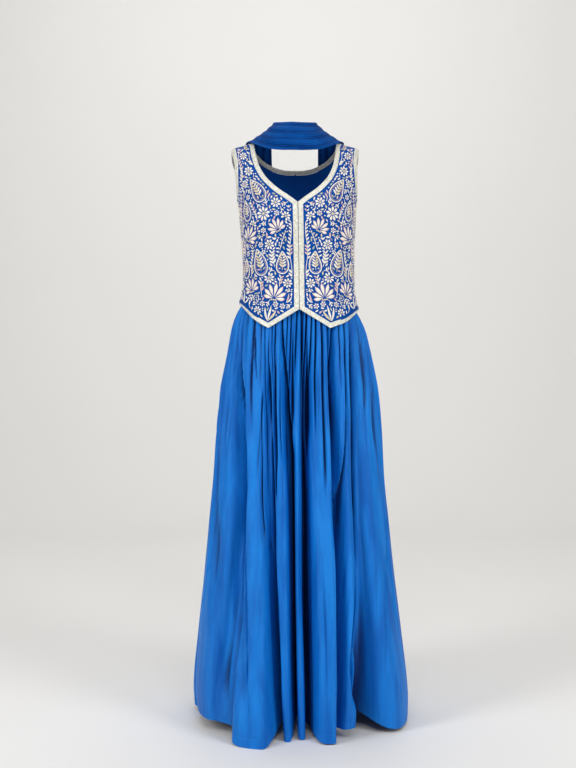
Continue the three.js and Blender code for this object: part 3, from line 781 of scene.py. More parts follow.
def frontPanel():
    s = np.unique(np.concatenate([
        np.linspace(0, pointTurn / 90, 24), np.linspace(pointTurn / 90, 1, 40)
    ]))
    left = neckCurve(panelInset)(fineRows)
    seam = sideSeam(frontOutline, fineRows[fineRows < cornerRow])
    bottom = hemCurve(panelInset)(startTurn + s * (90 - startTurn))
    seam[0] = bottom[-1]
    right = np.vstack([seam, armCurve(panelInset)(fineRows[fineRows >= cornerRow])])
    top = left[-1] + s[:, None] * (right[-1] - left[-1])
    places = patch(left, right, bottom, top, s, s, fineRows / shoulderRow)
    return easedAtSeams(onBodice(places), -1)


def backPanel():  # half of the back, its columns from the side to the centre line
    s = np.linspace(0, 1, 56)
    bottom = hemCurve(panelInset)(180 - 90 * s)
    rows = fineRows
    upper = rows[rows >= cornerRow]
    neck = neckCurve(panelInset)(2 * shoulderRow - upper)
    lower = rows[rows < cornerRow]
    centre = np.column_stack([np.full(len(lower), 180.0), backOutline["neck"](lower)[:, 1]])
    centre[0] = bottom[0]
    left = np.vstack([centre, neck])
    seam = sideSeam(backOutline, lower)
    seam[0] = bottom[-1]
    right = np.vstack([seam, armCurve(panelInset)(2 * shoulderRow - upper)])
    top = left[-1] + s[:, None] * (right[-1] - left[-1])
    places = patch(left, right, bottom, top, s * (2 - s), s, rows / shoulderRow)
    return easedAtSeams(onBodice(places), 1)[:, ::-1]


def makeWaistcoat(silk):
    front = gridSheet(frontPanel())
    back = gridSheet(backPanel())
    pieces = {
        "waistcoatFrontLeft": (front, "waistcoat_front_left", (0.23, 0.50), 0.068),
        "waistcoatFrontRight": (mirrored(front), "waistcoat_front_right", (0.23, 0.50), 0.068),
        "waistcoatBack": (joined(back, mirrored(back)), "waistcoat_back", (0.47, 0.455), 0.153),
    }
    for name, (sheet, node, flat, area) in pieces.items():
        piece = setUp(clothWall(name, sheet, waistcoat["thickness"]), silk, "waistcoat_silk", node)


# ---------- bands: folded tissue along the waistcoat's edges
band = {"crown": 0.9, "puckerPitch": 9, "pucker": 0.18, "thickness": 2.0}


def bandSheet(outer, inner, seed=0):  # outer and inner edges, run by run
    shares = np.array([0, 0.04, 0.12, 0.3, 0.5, 0.7, 0.88, 0.96, 1])
    lifts = np.array([-0.5, 0.5, 1.1, 0.75, 0.65, 0.75, 1.1, 0.5, -0.3]) * band["crown"]
    places = outer[:, None] * (1 - shares[None, :, None]) + inner[:, None] * shares[None, :, None]
    points = onBodice(places)
    steps = np.linalg.norm(np.diff(points[:, 4], axis=0), axis=1)
    length = np.concatenate([[0], np.cumsum(steps)])
    wave = np.sin(2 * math.pi * length / band["puckerPitch"] + seed) * band["pucker"]
    wave = wave[:, None] * np.sin(math.pi * shares)[None]
    return onBodice(places, lifts[None] + wave)


def makeBands(tissue):
    width = waistcoat["bandWidth"]
    neckFine = np.unique(np.concatenate([np.linspace(0, 5, 90), np.linspace(5, 23, 190)]))
    neck = gridSheet(bandSheet(neckCurve(0)(neckFine), neckCurve(width)(neckFine)))
    hemFine = np.unique(np.concatenate([
        np.linspace(startTurn, pointTurn, 50), np.linspace(pointTurn, 180, 130)
    ]))
    hemPoints = bandSheet(hemCurve(0, 0.2)(hemFine), hemCurve(width, 0.2)(hemFine), 1)
    hem = gridSheet(np.swapaxes(hemPoints, 0, 1))
    armFine = np.linspace(5, 23, 150)
    arm = gridSheet(bandSheet(armCurve(0)(armFine), armCurve(width)(armFine), 2)[:, ::-1])
    pieces = {
        "neckBand": (joined(neck, mirrored(neck)), "neck_band", (0.013, 1.41)),
        "hemBand": (joined(hem, mirrored(hem)), "hem_band", (0.013, 0.89)),
        "armholeBandLeft": (arm, "armhole_band_left", (0.0145, 0.385)),
        "armholeBandRight": (mirrored(arm), "armhole_band_right", (0.0145, 0.385)),
    }
    for name, (sheet, node, flat) in pieces.items():
        piece = setUp(clothWall(name, sheet, band["thickness"]), tissue, "band_tissue", node)


# ---------- embroidery: raised stitching on the two fronts, one the mirror of the other
# A place in the pattern is the length round the body from the centre front, and the height.
needle = {
    "relief": 0.75,
    "sunk": 0.5,
    "stemWidth": 1.9,
    "motifGap": 0.35,
    "leafStations": 6,
    "leafScale": 1.18,
    "fillTries": 16000,
    "fillSeed": 11,
}
patternHeights = np.linspace(955, 1436, 62)
patternTurns = np.linspace(0, 96, 97)
patternRings = sectionPoint(bodice, patternTurns[None], patternHeights[:, None])
patternSteps = np.linalg.norm(np.diff(patternRings[..., :2], axis=1), axis=-1)
lengthGrid = np.column_stack([np.zeros(len(patternHeights)), np.cumsum(patternSteps, axis=1)])
turnGrid = np.array([np.interp(np.arange(260), row, patternTurns) for row in lengthGrid])


def readGrid(values, height, column):  # smooth reading between the rows and the columns
    row = (height - patternHeights[0]) / (patternHeights[1] - patternHeights[0])
    row = np.clip(row, 0, values.shape[0] - 1.001)
    column = np.clip(column, 0, values.shape[1] - 1.001)
    i, j = row.astype(int), column.astype(int)
    a, b = row - i, column - j
    low = values[i, j] * (1 - b) + values[i, j + 1] * b
    high = values[i + 1, j] * (1 - b) + values[i + 1, j + 1] * b
    return low * (1 - a) + high * a


def heading(angle):  # degrees clockwise from straight up
    return np.array([math.sin(math.radians(angle)), math.cos(math.radians(angle))])


def stroke(path, halfWidths, thread, relief=1.0):
    path, half = np.array(path, float), np.array(halfWidths, float)
    return {"path": path, "half": half, "thread": thread, "relief": relief}


def petal(start, angle, length, width, thread, belly=0.5, bend=0.0, relief=1.0):
    t = np.linspace(0, 1, needle["leafStations"])
    ahead, aside = heading(angle), heading(angle + 90)
    bow = (np.sin(math.pi * t) * bend * length)[:, None]
    path = np.array(start) + ahead * (t * length)[:, None] + aside * bow
    shape = np.sin(math.pi * t ** (math.log(0.5) / math.log(belly))) ** 0.75
    return stroke(path, np.maximum(shape * width / 2, 0.15), thread, relief)


def dot(place, radius, thread, relief=1.4):
    x = np.array([-0.96, -0.7, -0.25, 0.25, 0.7, 0.96])
    path = np.array(place) + np.column_stack([x * radius, 0 * x])
    return stroke(path, radius * np.sqrt(1 - x * x), thread, relief)


def line(controls, step):  # even places on a smooth line
    controls = np.array(controls, float)
    stops = np.arange(len(controls))
    at = np.linspace(0, len(controls) - 1, 30 * len(controls))
    fine = np.stack([curveThrough(stops, controls[:, i])(at) for i in range(2)], axis=-1)
    lengths = np.concatenate([[0], np.cumsum(np.linalg.norm(np.diff(fine, axis=0), axis=1))])
    even = np.linspace(0, lengths[-1], max(3, round(lengths[-1] / step) + 1))
    return np.stack([np.interp(even, lengths, fine[:, i]) for i in range(2)], axis=-1)


def stems(path, thread, width=None):  # a couched line in lengths of one size
    count = needle["leafStations"]
    width = width or needle["stemWidth"]
    return [stroke(path[i : i + count], np.full(count, width / 2), thread, 0.8)
            for i in range(0, len(path) - count + 1, count - 1)]


def frond(controls, leaf, spacing, threads, taper=0.45, openness=42, plump=0.5):
    leaf, spacing = leaf * needle["leafScale"], spacing * needle["leafScale"]
    places = line(controls, spacing)
    ways = np.gradient(places, axis=0)
    angles = np.degrees(np.arctan2(ways[:, 0], ways[:, 1]))
    strokes = stems(line(controls, 2.4), threads[0])
    for i in range(1, len(places)):
        size = leaf * (1 - taper * i / len(places))
        for side, thread in ((1, threads[0]), (-1, threads[1])):
            angle = angles[i] + side * openness
            start = places[i] + heading(angle) * 0.8
            strokes.append(petal(start, angle, size, size * plump, thread, 0.5, -0.06 * side))
    strokes.append(petal(places[-1], angles[-1], leaf * (1 - taper), leaf * (1 - taper) * plump, threads[0]))
    return strokes


def daisy(place, radius, thread, heart, petals=9, turn=0.0):
    width = 2 * math.pi * radius * 0.66 / petals * 0.98
    strokes = [petal(np.array(place) + heading(turn + 360 * i / petals) * radius * 0.24,
                     turn + 360 * i / petals, radius * 0.76, width, thread, 0.62) for i in range(petals)]
    return strokes + [dot(place, radius * 0.22, heart)]


def palmette(place, size, turn, threads, petals=7, spread=170):
    strokes = []
    for i in range(petals):
        side = 2 * i / (petals - 1) - 1
        angle = turn + side * spread / 2
        length = size * (1 - 0.3 * side * side)
        start = np.array(place) + heading(angle) * size * 0.1
        strokes.append(petal(start, angle, length, size * 0.36, threads[1], 0.66, 0.06 * side, 0.7))
        strokes.append(petal(start + heading(angle) * 1.2, angle, length - 3.2, size * 0.36 - 2.2, threads[0],
                             0.66, 0.06 * side, 1.25))
    base = np.array(place) - heading(turn) * size * 0.12
    sideways = heading(turn + 90) * size * 0.16
    strokes += [dot(base + sideways * i, size * 0.075, threads[2]) for i in (-1, 0, 1)]
    return strokes


def paisley(place, size, turn, threads, side=1):
    angle = np.linspace(0.16, 2 * math.pi - 0.16, 31)
    y = 0.5 * np.cos(angle)
    x = 0.36 * np.sin(angle) * np.sin(angle / 2) + 0.3 * np.maximum(0, y) ** 2

    def toPlace(x, y):
        across = np.outer(x, heading(turn + 90)) * size * side
        return np.array(place) + across + np.outer(y, heading(turn)) * size

    strokes = stems(toPlace(x, y), threads[0], 3.4)
    strokes += stems(toPlace(x * 0.8, y * 0.84 - 0.02), threads[1], 1.2)
    axis = toPlace(np.array([0, 0, 0.02, 0.05]), np.array([-0.34, -0.12, 0.1, 0.28]))
    return strokes + frond(axis, size * 0.19, size * 0.1, (threads[2], threads[0]), 0.4, 48)


def blades(place, size, turn, threads, count=5, spread=80):
    strokes = []
    for i in range(count):
        side = 2 * i / (count - 1) - 1
        angle = turn + side * spread / 2
        thread = threads[i % len(threads)]
        length = size * (1 - 0.25 * abs(side))
        strokes.append(petal(place, angle, length, size * 0.17, thread, 0.5, 0.12 * side))
    return strokes


def berries(controls, spacing, reach, threads):  # a stem with a berry at the end of each short branch
    places = line(controls, spacing)
    ways = np.gradient(places, axis=0)
    strokes = stems(line(controls, 2.4), threads[0])
    for i in range(1, len(places)):
        angle = math.degrees(math.atan2(*ways[i])) + (48 if i % 2 else -48)
        tip = places[i] + heading(angle) * reach
        strokes += stems(places[i] + heading(angle) * np.linspace(0, reach, 6)[:, None], threads[0], 1.0)
        aside = -60 if i % 2 else 60
        strokes += [dot(tip, 2.1, threads[1]), petal(places[i], angle + aside, 5, 2.2, threads[0])]
    return strokes


def cellsOf(item, spread):  # the millimetre squares that a stroke covers
    at = np.linspace(0, len(item["half"]) - 1, 3 * len(item["half"]))
    stops = np.arange(len(item["half"]))
    fine = np.stack([np.interp(at, stops, item["path"][:, i]) for i in range(2)], axis=-1)
    half = np.interp(at, stops, item["half"]) + spread
    reach = int(math.ceil(half.max()))
    x, y = [steps.ravel() for steps in np.mgrid[-reach : reach + 1, -reach : reach + 1]]
    near = np.hypot(x, y)[None] <= half[:, None]
    cells = np.round(fine)[:, None] + np.stack([x, y], axis=-1)[None]
    cells = cells[near].astype(int)
    column = np.clip(cells[:, 0], 0, taken.shape[0] - 1)
    return column, np.clip(cells[:, 1] - patternFloor, 0, taken.shape[1] - 1)


def panelMask():  # True for each millimetre square inside the front panel
    seamHeights = np.linspace(1300, 1032, 40)
    edge = np.vstack([
        neckCurve(panelInset)(np.linspace(0, 14, 150)),
        armCurve(panelInset)(np.linspace(14, 5, 90)),
        np.column_stack([np.full(40, 90.0), seamHeights]),
        hemCurve(panelInset)(np.linspace(90, startTurn, 120)),
    ])
    lengths = readGrid(lengthGrid, edge[:, 1], edge[:, 0])
    edge = np.column_stack([lengths, edge[:, 1] - patternFloor])
    x, y = np.mgrid[0:240, 0:490]
    inside = np.zeros(x.shape, bool)
    for (x0, y0), (x1, y1) in zip(edge, np.roll(edge, -1, axis=0)):
        if y0 != y1:
            crosses = (y0 > y) != (y1 > y)
            inside ^= crosses & (x < (x1 - x0) * (y - y0) / (y1 - y0) + x0)
    return inside


patternFloor = 950
panelArea = panelMask()
taken = ~panelArea
for shiftX, shiftY in ((2, 0), (-2, 0), (0, 2), (0, -2), (1, 1), (1, -1), (-1, 1), (-1, -1)):
    taken = taken | np.roll(~panelArea, (shiftX, shiftY), axis=(0, 1))
covered = np.zeros(taken.shape, bool)
strokesLaid = []


def lay(strokes, allowed=0.03):  # keeps the strokes that have room, then takes their squares
    kept = [item for item in strokes if taken[cellsOf(item, 0)].mean() <= allowed]
    for item in kept:
        taken[cellsOf(item, needle["motifGap"])] = True
        covered[cellsOf(item, 0)] = True
    strokesLaid.extend(kept)


def layMotifs():
    ivory, gold, pink = "ivory", "gold", "pink"
    palmettes = ((62, 1036, 34, -12), (136, 1182, 32, -30), (124, 1052, 30, 22), (50, 1200, 27, 26))
    for u, v, size, turn in palmettes:
        lay(palmette((u, v), size, turn, (ivory, pink, gold)))
    for u, v, size, turn, side in ((98, 1124, 66, 8, 1), (148, 1108, 52, 4, -1), (101, 1300, 64, 24, 1),
                                   (39, 1122, 54, -6, 1), (140, 1252, 52, 14, -1), (182, 1160, 60, 0, 1)):
        lay(paisley((u, v), size, turn, (ivory, pink, gold), side))
    daisies = (
        (86, 1240, 18, 9), (54, 1266, 13, 8), (74, 1086, 14, 9), (28, 1072, 12, 8),
        (118, 1216, 12, 8), (30, 1232, 12, 8), (120, 1350, 13, 8), (132, 1392, 11, 8),
        (160, 1210, 13, 9), (172, 1066, 14, 9), (106, 1004, 11, 8), (72, 1166, 13, 8),
        (136, 1318, 11, 8), (188, 1256, 14, 9), (122, 1416, 9, 7), (196, 1100, 12, 8),
    )
    for u, v, radius, petals in daisies:
        thread, heart = (ivory, gold) if petals > 7 else (gold, pink)
        lay(daisy((u, v), radius, thread, heart, petals, u * 7 % 40))
    lay(blades((79, 980), 40, -16, (ivory, gold, ivory), 5, 100))
    lay(blades((152, 1020), 34, 4, (ivory, gold, ivory), 5, 110))
    lay(blades((32, 1024), 28, 8, (ivory, pink), 5, 100))
    fronds = (
        ([(21, 1052), (17, 1100), (22, 1150), (17, 1200), (22, 1252)], 11, 7.4, (ivory, pink)),
        ([(59, 1112), (66, 1140), (60, 1176)], 11, 7, (ivory, ivory)),
        ([(84, 1176), (70, 1196), (74, 1226)], 11, 7, (pink, ivory)),
        ([(103, 1182), (113, 1206), (104, 1232), (117, 1258)], 11, 7.2, (ivory, pink)),
        ([(70, 1270), (76, 1290), (88, 1310)], 11, 7, (ivory, pink)),
        ([(108, 1332), (106, 1360), (116, 1388), (114, 1420)], 12, 6.8, (ivory, pink)),
        ([(140, 1290), (146, 1320), (138, 1350), (146, 1380), (144, 1408)], 11, 6.4, (ivory, pink)),
        ([(150, 1138), (156, 1160), (150, 1190)], 11, 7, (ivory, pink)),
        ([(124, 1084), (126, 1110), (119, 1140), (121, 1164)], 11, 7, (ivory, gold)),
        ([(46, 1052), (48, 1070), (42, 1092)], 11, 7, (ivory, pink)),
        ([(94, 1044), (97, 1066), (90, 1092)], 12, 7.2, (ivory, pink)),
        ([(160, 1224), (172, 1244), (164, 1272), (158, 1298)], 12, 7.4, (ivory, pink)),
        ([(170, 1086), (176, 1104), (172, 1132)], 11, 7, (ivory, pink)),
        ([(200, 1036), (206, 1080)], 11, 7, (ivory, gold)),
        ([(204, 1180), (208, 1210), (204, 1260)], 11, 7.2, (ivory, pink)),
        ([(128, 1008), (138, 1030), (146, 1060), (150, 1078)], 11, 7, (ivory, ivory)),
    )
    for controls, leaf, spacing, threads in fronds:
        lay(frond(controls, leaf, spacing, threads))
    lay(berries([(46, 1152), (40, 1172), (30, 1200)], 7, 6, (ivory, gold)))
    lay(berries([(178, 1196), (174, 1212), (182, 1234)], 7, 6, (ivory, gold)))
    lay(berries([(110, 1018), (102, 1034), (106, 1050)], 7, 6, (ivory, gold)))


def fillGaps():  # small stars, sprigs, leaves and knots wherever the ground is still bare
    chance = np.random.default_rng(needle["fillSeed"])
    ivory, gold, pink, green = "ivory", "gold", "pink", "green"
    bare = np.argwhere(~taken)
    for attempt in range(needle["fillTries"]):
        place = bare[chance.integers(len(bare))] + [0, patternFloor]
        angle, kind = chance.uniform(0, 360), attempt / needle["fillTries"]
        leafThread = (ivory, ivory, ivory, pink, gold, green)[chance.integers(6)]
        if kind < 0.15:
            room, motif = 7.5, daisy(place, 7.4, ivory, pink, 6, angle)
        elif kind < 0.45:
            ends = [(place + heading(angle) * r).tolist() for r in (-7, 0, 5)]
            room, motif = 6.0, frond(ends, 8, 5.4, (ivory, leafThread))
        elif kind < 0.8:
            start = place - heading(angle) * 4.7
            room, motif = 3.0, [petal(start, angle, 9.5, 5, leafThread)]
        else:
            room, motif = 2.3, [dot(place, 1.9, ivory)]
        if not taken[cellsOf(dot(place, room, ivory), 0)].any():
            lay(motif, 0.08)


def stitchPoints(strokes):  # a low ridge with four points in each section
    path = np.stack([item["path"] for item in strokes])
    half = np.stack([item["half"] for item in strokes])
    relief = np.array([item["relief"] for item in strokes])[:, None] * needle["relief"]
    ways = np.gradient(path, axis=1)
    ways = ways / np.maximum(np.linalg.norm(ways, axis=-1, keepdims=True), 1e-6)
    sides = np.stack([ways[..., 1], -ways[..., 0]], axis=-1)
    ribs = np.array([-1, -0.5, 0.5, 1])
    places = path[:, :, None] + sides[:, :, None] * (half[:, :, None] * ribs)[..., None]
    fullness = 0.35 + 0.65 * np.minimum(1, half / np.maximum(half.max(axis=1, keepdims=True), 0.8))
    top = relief * fullness
    lifts = np.stack([0 * top - needle["sunk"], top, top, 0 * top - needle["sunk"]], axis=-1)
    turns = readGrid(turnGrid, places[..., 1], places[..., 0])
    points = onBodice(np.stack([turns, places[..., 1]], axis=-1), lifts)
    steps = np.linalg.norm(np.diff(path, axis=1), axis=-1)
    length = np.concatenate([np.zeros((len(strokes), 1)), np.cumsum(steps, axis=1)], axis=1)
    alongStroke = np.broadcast_to(length[..., None], lifts.shape)
    return points.reshape(-1, 3), np.stack([alongStroke, half[:, :, None] * ribs], axis=-1).reshape(-1, 2)


def stitchFaces(count):
    stations = needle["leafStations"]
    quads = []
    for i in range(stations - 1):
        for j in range(4):
            k = (j + 1) % 4
            quads.append((4 * i + j, 4 * i + k, 4 * i + 4 + k, 4 * i + 4 + j))
    last = 4 * (stations - 1)
    quads += [(3, 2, 1, 0), (last, last + 1, last + 2, last + 3)]
    return (np.array(quads)[None] + (np.arange(count) * 4 * stations)[:, None, None]).reshape(-1, 4)


def makeEmbroidery(threads):
    layMotifs()
    fillGaps()
    print("stitches", len(strokesLaid), "share of the silk", round(covered[panelArea].mean(), 2))
    for name, material in threads.items():
        strokes = [item for item in strokesLaid if item["thread"] == name]
        points, marks = stitchPoints(strokes)
        faces = stitchFaces(len(strokes))
        allPoints = np.concatenate([points, points * [-1, 1, 1]])
        allFaces = np.concatenate([faces, faces[:, ::-1] + len(points)])
        piece = newMesh("embroidery" + name.capitalize(), hung(allPoints), allFaces)
        layer = piece.data.uv_layers.new(name="stitches")
        corners = np.empty(len(piece.data.loops), np.int32)
        piece.data.loops.foreach_get("vertex_index", corners)
        layer.data.foreach_set("uv", np.concatenate([marks, marks])[corners].ravel())
        setUp(piece, material, "embroidery_thread")


# ---------- skirt
skirtSize = {
    "thickness": 0.8,
    "foldSteps": 100,
    "gathersPerFold": 4,
    "gatherUnevenness": 0.75,
    "crestSpread": 1.4,
    "crestBreadth": 0.6,
    "liftFade": 160,
    "creaseDepth": 2.3,
    "creaseFoot": (-60, 20),
    "creaseHead": (-30, 100),
    "leastCrease": 1.5,
    "gatherDepth": 4.8,
    "gatherFade": (-140, 130),
    "gatherTop": (985, 1037),
    "gatherTopLoss": 0.6,
    "crinkleRates": (2.37, 3.83),
    "crinkleDepth": 0.5,
    "crinkleFade": (420, 900),
    "fineCreases": 160,
    "shadeReach": 14,
    "shadeShare": 0.9,
    "softSides": (52, 80),
    "sideSoftness": 0.5,
    "hemDepth": 22,
    "hemRise": 0.5,
    "stitchDepth": 0.7,
    "stitchWidth": 1.6,
    "puckersPerFold": 17,
    "puckerDepth": 0.35,
    "puckerReach": 14,
    "seamFade": (600, 960),
    "seamWaves": (21, 33),
    "seamDepth": 0.9,
    "seamReach": 14,
    "seamGroove": 1.8,
    "seamShift": 0.15,
    "cutLength": 1.04,
}
foldHeights = (0, 435, 808, 1037)
foldRows = table(
    "waist hip knee hem hipOut kneeOut hemOut lift",
    (-90, -90, -90, -90, -8, -14, -20, 10),
    (-77, -68, -62, -75, 0, 0, -12, 28),
    (-64.3, -54, -41.5, -43, -22, -42, -26, 30),
    (-51.4, -40, -29.5, -18.8, 0, 4, 24, 0),
    (-38.6, -28.3, -19.8, -12.6, -16, -40, -130, 42),
    (-25.7, -19.5, -12, -7.2, 0, -6, -34, 0),
    (-12.9, -13, -5.6, -3.3, -24, -60, -130, 32),
    (0, -3, -0.9, 1.4, -2, -10, -46, 2),
    (12.9, 5.5, 4.1, 5.5, -22, -56, -120, 20),
    (25.7, 18.5, 16.5, 17.2, 0, 2, -8, 3),
    (38.6, 31.5, 29.2, 22.5, -26, -50, -120, 20),
    (51.4, 40, 34.8, 27.6, -2, -8, -30, 26),
    (64.3, 48.5, 41, 40, -18, -34, -112, 55),
    (77, 65, 59, 66, 0, 0, 6, 8),
    (90, 90, 90, 90, -8, -14, -14, 10),
    (102.9, 104, 103, 101, 0, 0, 6, 6),
    (115.7, 117, 116, 113, -18, -40, -70, 24),
    (128.6, 129, 128, 127, 0, 0, 4, 2),
    (141.4, 141, 142, 144, -20, -44, -84, 26),
    (154.3, 153, 155, 158, 0, 2, 6, 4),
    (167.1, 167, 169, 171, -16, -38, -66, 22),
    (180, 181, 182, 183, 0, 0, 0, 0),
    (192.9, 194, 193, 192, -22, -46, -88, 28),
    (205.7, 205, 204, 203, 0, 2, 4, 3),
    (218.6, 218, 217, 215, -18, -36, -72, 24),
    (231.4, 231, 229, 228, 0, 0, 6, 5),
    (244.3, 243, 243, 244, -20, -44, -80, 26),
    (257.1, 256, 257, 259, 0, 0, 2, 14),
    (270, 270, 270, 270, -8, -14, -20, 10),
)
foldCount = (len(foldRows["waist"]) - 1) // 2
# Creases on the front: the depth of each and, from its foot up, where it runs, in pixels of a level view of
# the set. The places were read off, and five of them were then shifted a little.
readingColumns = ("across", "down", "breadth")
creaseView = {
    "distance": 2700,
    "height": 828,
    "pixelScale": 1072.3,
    "middleAcross": 288,
    "middleDown": 384,
    "sideShift": 27.7,
    "widestReach": 0.999,
    "leastCosine": 0.5,
    "turnStep": 0.5,
    "heightStep": 10,
    "widthStep": 0.5,
    "rounds": 40,
}
frontReadings = [
    (14, [(236, 600, 4), (238, 483, 8), (238.3, 458, 8), (237.5, 434, 5.5), (236.3, 372, 1.2)]),
    (6, [(256, 368, 1), (255.5, 354, 2.2), (255.3, 338, 1.2)]),
    (6, [(268, 402.5, 1.4), (267.5, 385, 2.2), (267.5, 362, 1.2)]),
    (4, [(268, 568, 1.5), (266, 550, 1.8), (263, 535, 1.8), (261, 405, 1.2)]),
    (9, [(275.5, 482, 1.5), (275.9, 450, 3), (276, 378, 1.5)]),
    (16, [(274, 708, 5), (274, 680, 6), (272, 610, 7), (270, 540, 2.8), (269.5, 466, 1.2)]),
    (16, [(292.2, 705, 5), (291, 458, 6), (288.5, 434, 5.5), (285.5, 410, 4.5), (282.3, 334, 1.5)]),
    (8, [(291, 440, 2), (292, 415, 3), (292.7, 352, 1.2)]),
    (12, [(312.5, 690, 10), (307, 570, 11), (306, 507, 8), (303.5, 450, 6), (301.5, 316, 1.5)]),
    (10, [(309, 450, 1.2), (308.8, 420, 4.5), (308.5, 405, 4.5), (307.9, 364, 1.4)]),
    (4, [(305, 650, 1.4), (303.5, 610.5, 1.6), (303.5, 555, 1.2)]),
    (4, [(315, 690, 2), (312, 595, 1.2)]),
    (15, [(338.5, 505, 2), (338, 458, 6.5), (336, 400, 5), (334.5, 383, 4.2), (333.1, 322, 1.5)]),
    (14, [(343.3, 716, 1.5), (343.5, 668, 6), (344, 610, 8.5), (345.7, 430, 1.4), (345.7, 380, 1.2)]),
    (12, [(365, 697, 9), (364.5, 610, 5), (360.2, 480, 1.4), (356.5, 415, 3), (348.5, 314, 1.5)]),
    (9, [(358, 694, 2), (356.5, 672, 3.4), (358.3, 650, 4.6), (358.5, 592, 1.5)]),
    (4, [(217, 690, 5), (215.5, 620, 9), (214.5, 540, 9), (215.5, 480, 7), (219.5, 425, 3)]),
    (4, [(244.5, 690, 8), (243, 650, 9), (240, 590.5, 6)]),
    (2.5, [(251, 705, 1), (249.2, 637, 1.4), (245.2, 540, 1)]),
    (4, [(378, 452, 3), (376, 430, 5), (374, 410, 5), (368.1, 355, 3), (364.2, 335, 1.6)]),
    (2, [(389, 690, 1), (387, 640, 1.4), (385.5, 600, 1.4), (386, 560, 1.4), (387.5, 520, 1)]),
    (6, [(243.5, 395, 1.2), (244.5, 370, 2), (245, 345, 2), (246, 325, 1.2)]),
    (4, [(322.5, 370, 1.4), (321, 340, 1.6), (320, 318, 1)]),
    (4, [(365.5, 390, 1.4), (363.5, 360, 1.6), (361, 335, 1)]),
]


def onSkirt(reading):  # turn, height and half width of one reading, found round by round
    view = creaseView
    depth = 0
    for _ in range(view["rounds"]):
        unitsPerPixel = (view["distance"] - depth) / view["pixelScale"]
        height = view["height"] - (reading["down"] - view["middleDown"]) * unitsPerPixel
        x = (reading["across"] - view["middleAcross"]) * unitsPerPixel - view["sideShift"]
        halfWidth = np.interp(height, skirtRows["height"], skirtRows["halfWidth"])
        front = np.interp(height, skirtRows["height"], skirtRows["front"])
        reach = min(view["widestReach"], abs(x) / halfWidth)
        depth = front * (1 - reach**sectionPower) ** (1 / sectionPower)
    turn = math.atan2(x, depth)
    width = reading["breadth"] * unitsPerPixel / 2 / max(view["leastCosine"], math.cos(turn))
    measures = zip((math.degrees(turn), height, width), ("turnStep", "heightStep", "widthStep"))
    return [round(value / view[step]) * view[step] for value, step in measures]


frontCreases = [
    (depth, [onSkirt(dict(zip(readingColumns, place))) for place in run]) for depth, run in frontReadings
]
# Creases on the sides and the back: turn at the top and at the foot, heights, depth, half width.
backCreases = table(
    "topTurn footTurn top foot depth width",
    (98, 99, 990, 560, 6.0, 4),
    (122, 123, 990, 640, 7.5, 4),
    (135, 134, 980, 500, 6.0, 3),
    (148, 149, 990, 600, 8.0, 4),
    (161, 162, 990, 680, 6.0, 3),
    (174, 176, 980, 560, 7.5, 4),
    (187, 187, 990, 620, 6.0, 3),
    (199, 198, 980, 540, 9.0, 4),
    (212, 211, 990, 660, 6.0, 3),
    (225, 223, 980, 580, 7.5, 5),
    (238, 236, 990, 600, 6.0, 4),
    (252, 251, 980, 520, 6.0, 4),
    (128, 130, 500, 40, 4.0, 12),
    (182, 184, 480, 60, 4.0, 12),
    (230, 229, 500, 50, 4.0, 12),
    (77, 76, 960, 520, 5.0, 5),
    (-76, -72, 960, 560, 5.0, 5),
)
randomNumbers = np.random.default_rng(7)


def fineCreases():  # thin uneven creases and ridges between the main ones, all round
    count = skirtSize["fineCreases"]
    spacing = 360 / count
    top = randomNumbers.uniform(380, 1030, count)
    return {
        "turn": np.arange(count) * spacing + randomNumbers.uniform(-0.9, 0.9, count) * spacing,
        "top": top,
        "foot": top - randomNumbers.uniform(140, 520, count),
        "drift": randomNumbers.uniform(-3.5, 3.5, count),
        "depth": randomNumbers.choice([-1.3, 2.2, 3.2, 4.4], count),
        "width": randomNumbers.uniform(1.8, 4.2, count),
    }


gatherTotal = foldCount * skirtSize["gathersPerFold"]
gatherStrength = 1 + randomNumbers.uniform(-1, 1, gatherTotal) * skirtSize["gatherUnevenness"]
gatherEnd = randomNumbers.uniform(520, 900, gatherTotal)
gatherShift = randomNumbers.uniform(-0.42, 0.42, gatherTotal)
thinCreases = fineCreases()
wallSteepness = curveThrough([0, 500, 1037], [0.75, 0.6, 0.2])
fullShade = curveThrough([0, 300, 600, 900, 1037], [11, 9, 6, 3.4, 3.4])  # fold depth that is shaded in full


def foldLine(index, height, kind):
    names = ["hem", "knee", "hip", "waist"] if kind == "turn" else ["hemOut", "kneeOut", "hipOut", None]
    index, height = np.broadcast_arrays(index, height)
    result = np.zeros(index.shape)
    for i in range(2 * foldCount + 1):
        chosen = index == i
        values = [foldRows[name][i] if name else 0 for name in names]
        result[chosen] = curveThrough(foldHeights, values)(height[chosen])
    return result


def skirtPoints(place, height):  # place is counted in folds from the wearer's right side seam
    fold = np.clip(np.floor(place), 0, foldCount - 1).astype(int)
    side = 2 * (place - fold) - 1
    away = np.minimum(np.abs(side), 1) ** skirtSize["crestSpread"]
    crest, valley = 2 * fold + 1, 2 * fold + np.where(side < 0, 0, 2)
    steep = wallSteepness(height) * np.sin(2 * math.pi * away) / (2 * math.pi)
    sideways = (away + steep) ** skirtSize["crestBreadth"]
    crestTurn, crestOut = foldLine(crest, height, "turn"), foldLine(crest, height, "out")
    turn = crestTurn + (foldLine(valley, height, "turn") - crestTurn) * sideways
    sunk = 0.5 - 0.5 * np.cos(math.pi * away)
    out = crestOut + (foldLine(valley, height, "out") - crestOut) * sunk
    out = out + gathers(place, height) + creases(turn, height) + hemAndSeams(place, turn, height)
    points = sectionPoint(skirtShape, turn, height, out)
    crestLift, valleyLift = foldRows["lift"][crest], foldRows["lift"][valley]
    lift = crestLift + (valleyLift - crestLift) * sunk
    points[..., 2] += lift * np.maximum(0, 1 - height / skirtSize["liftFade"]) ** 2
    return points


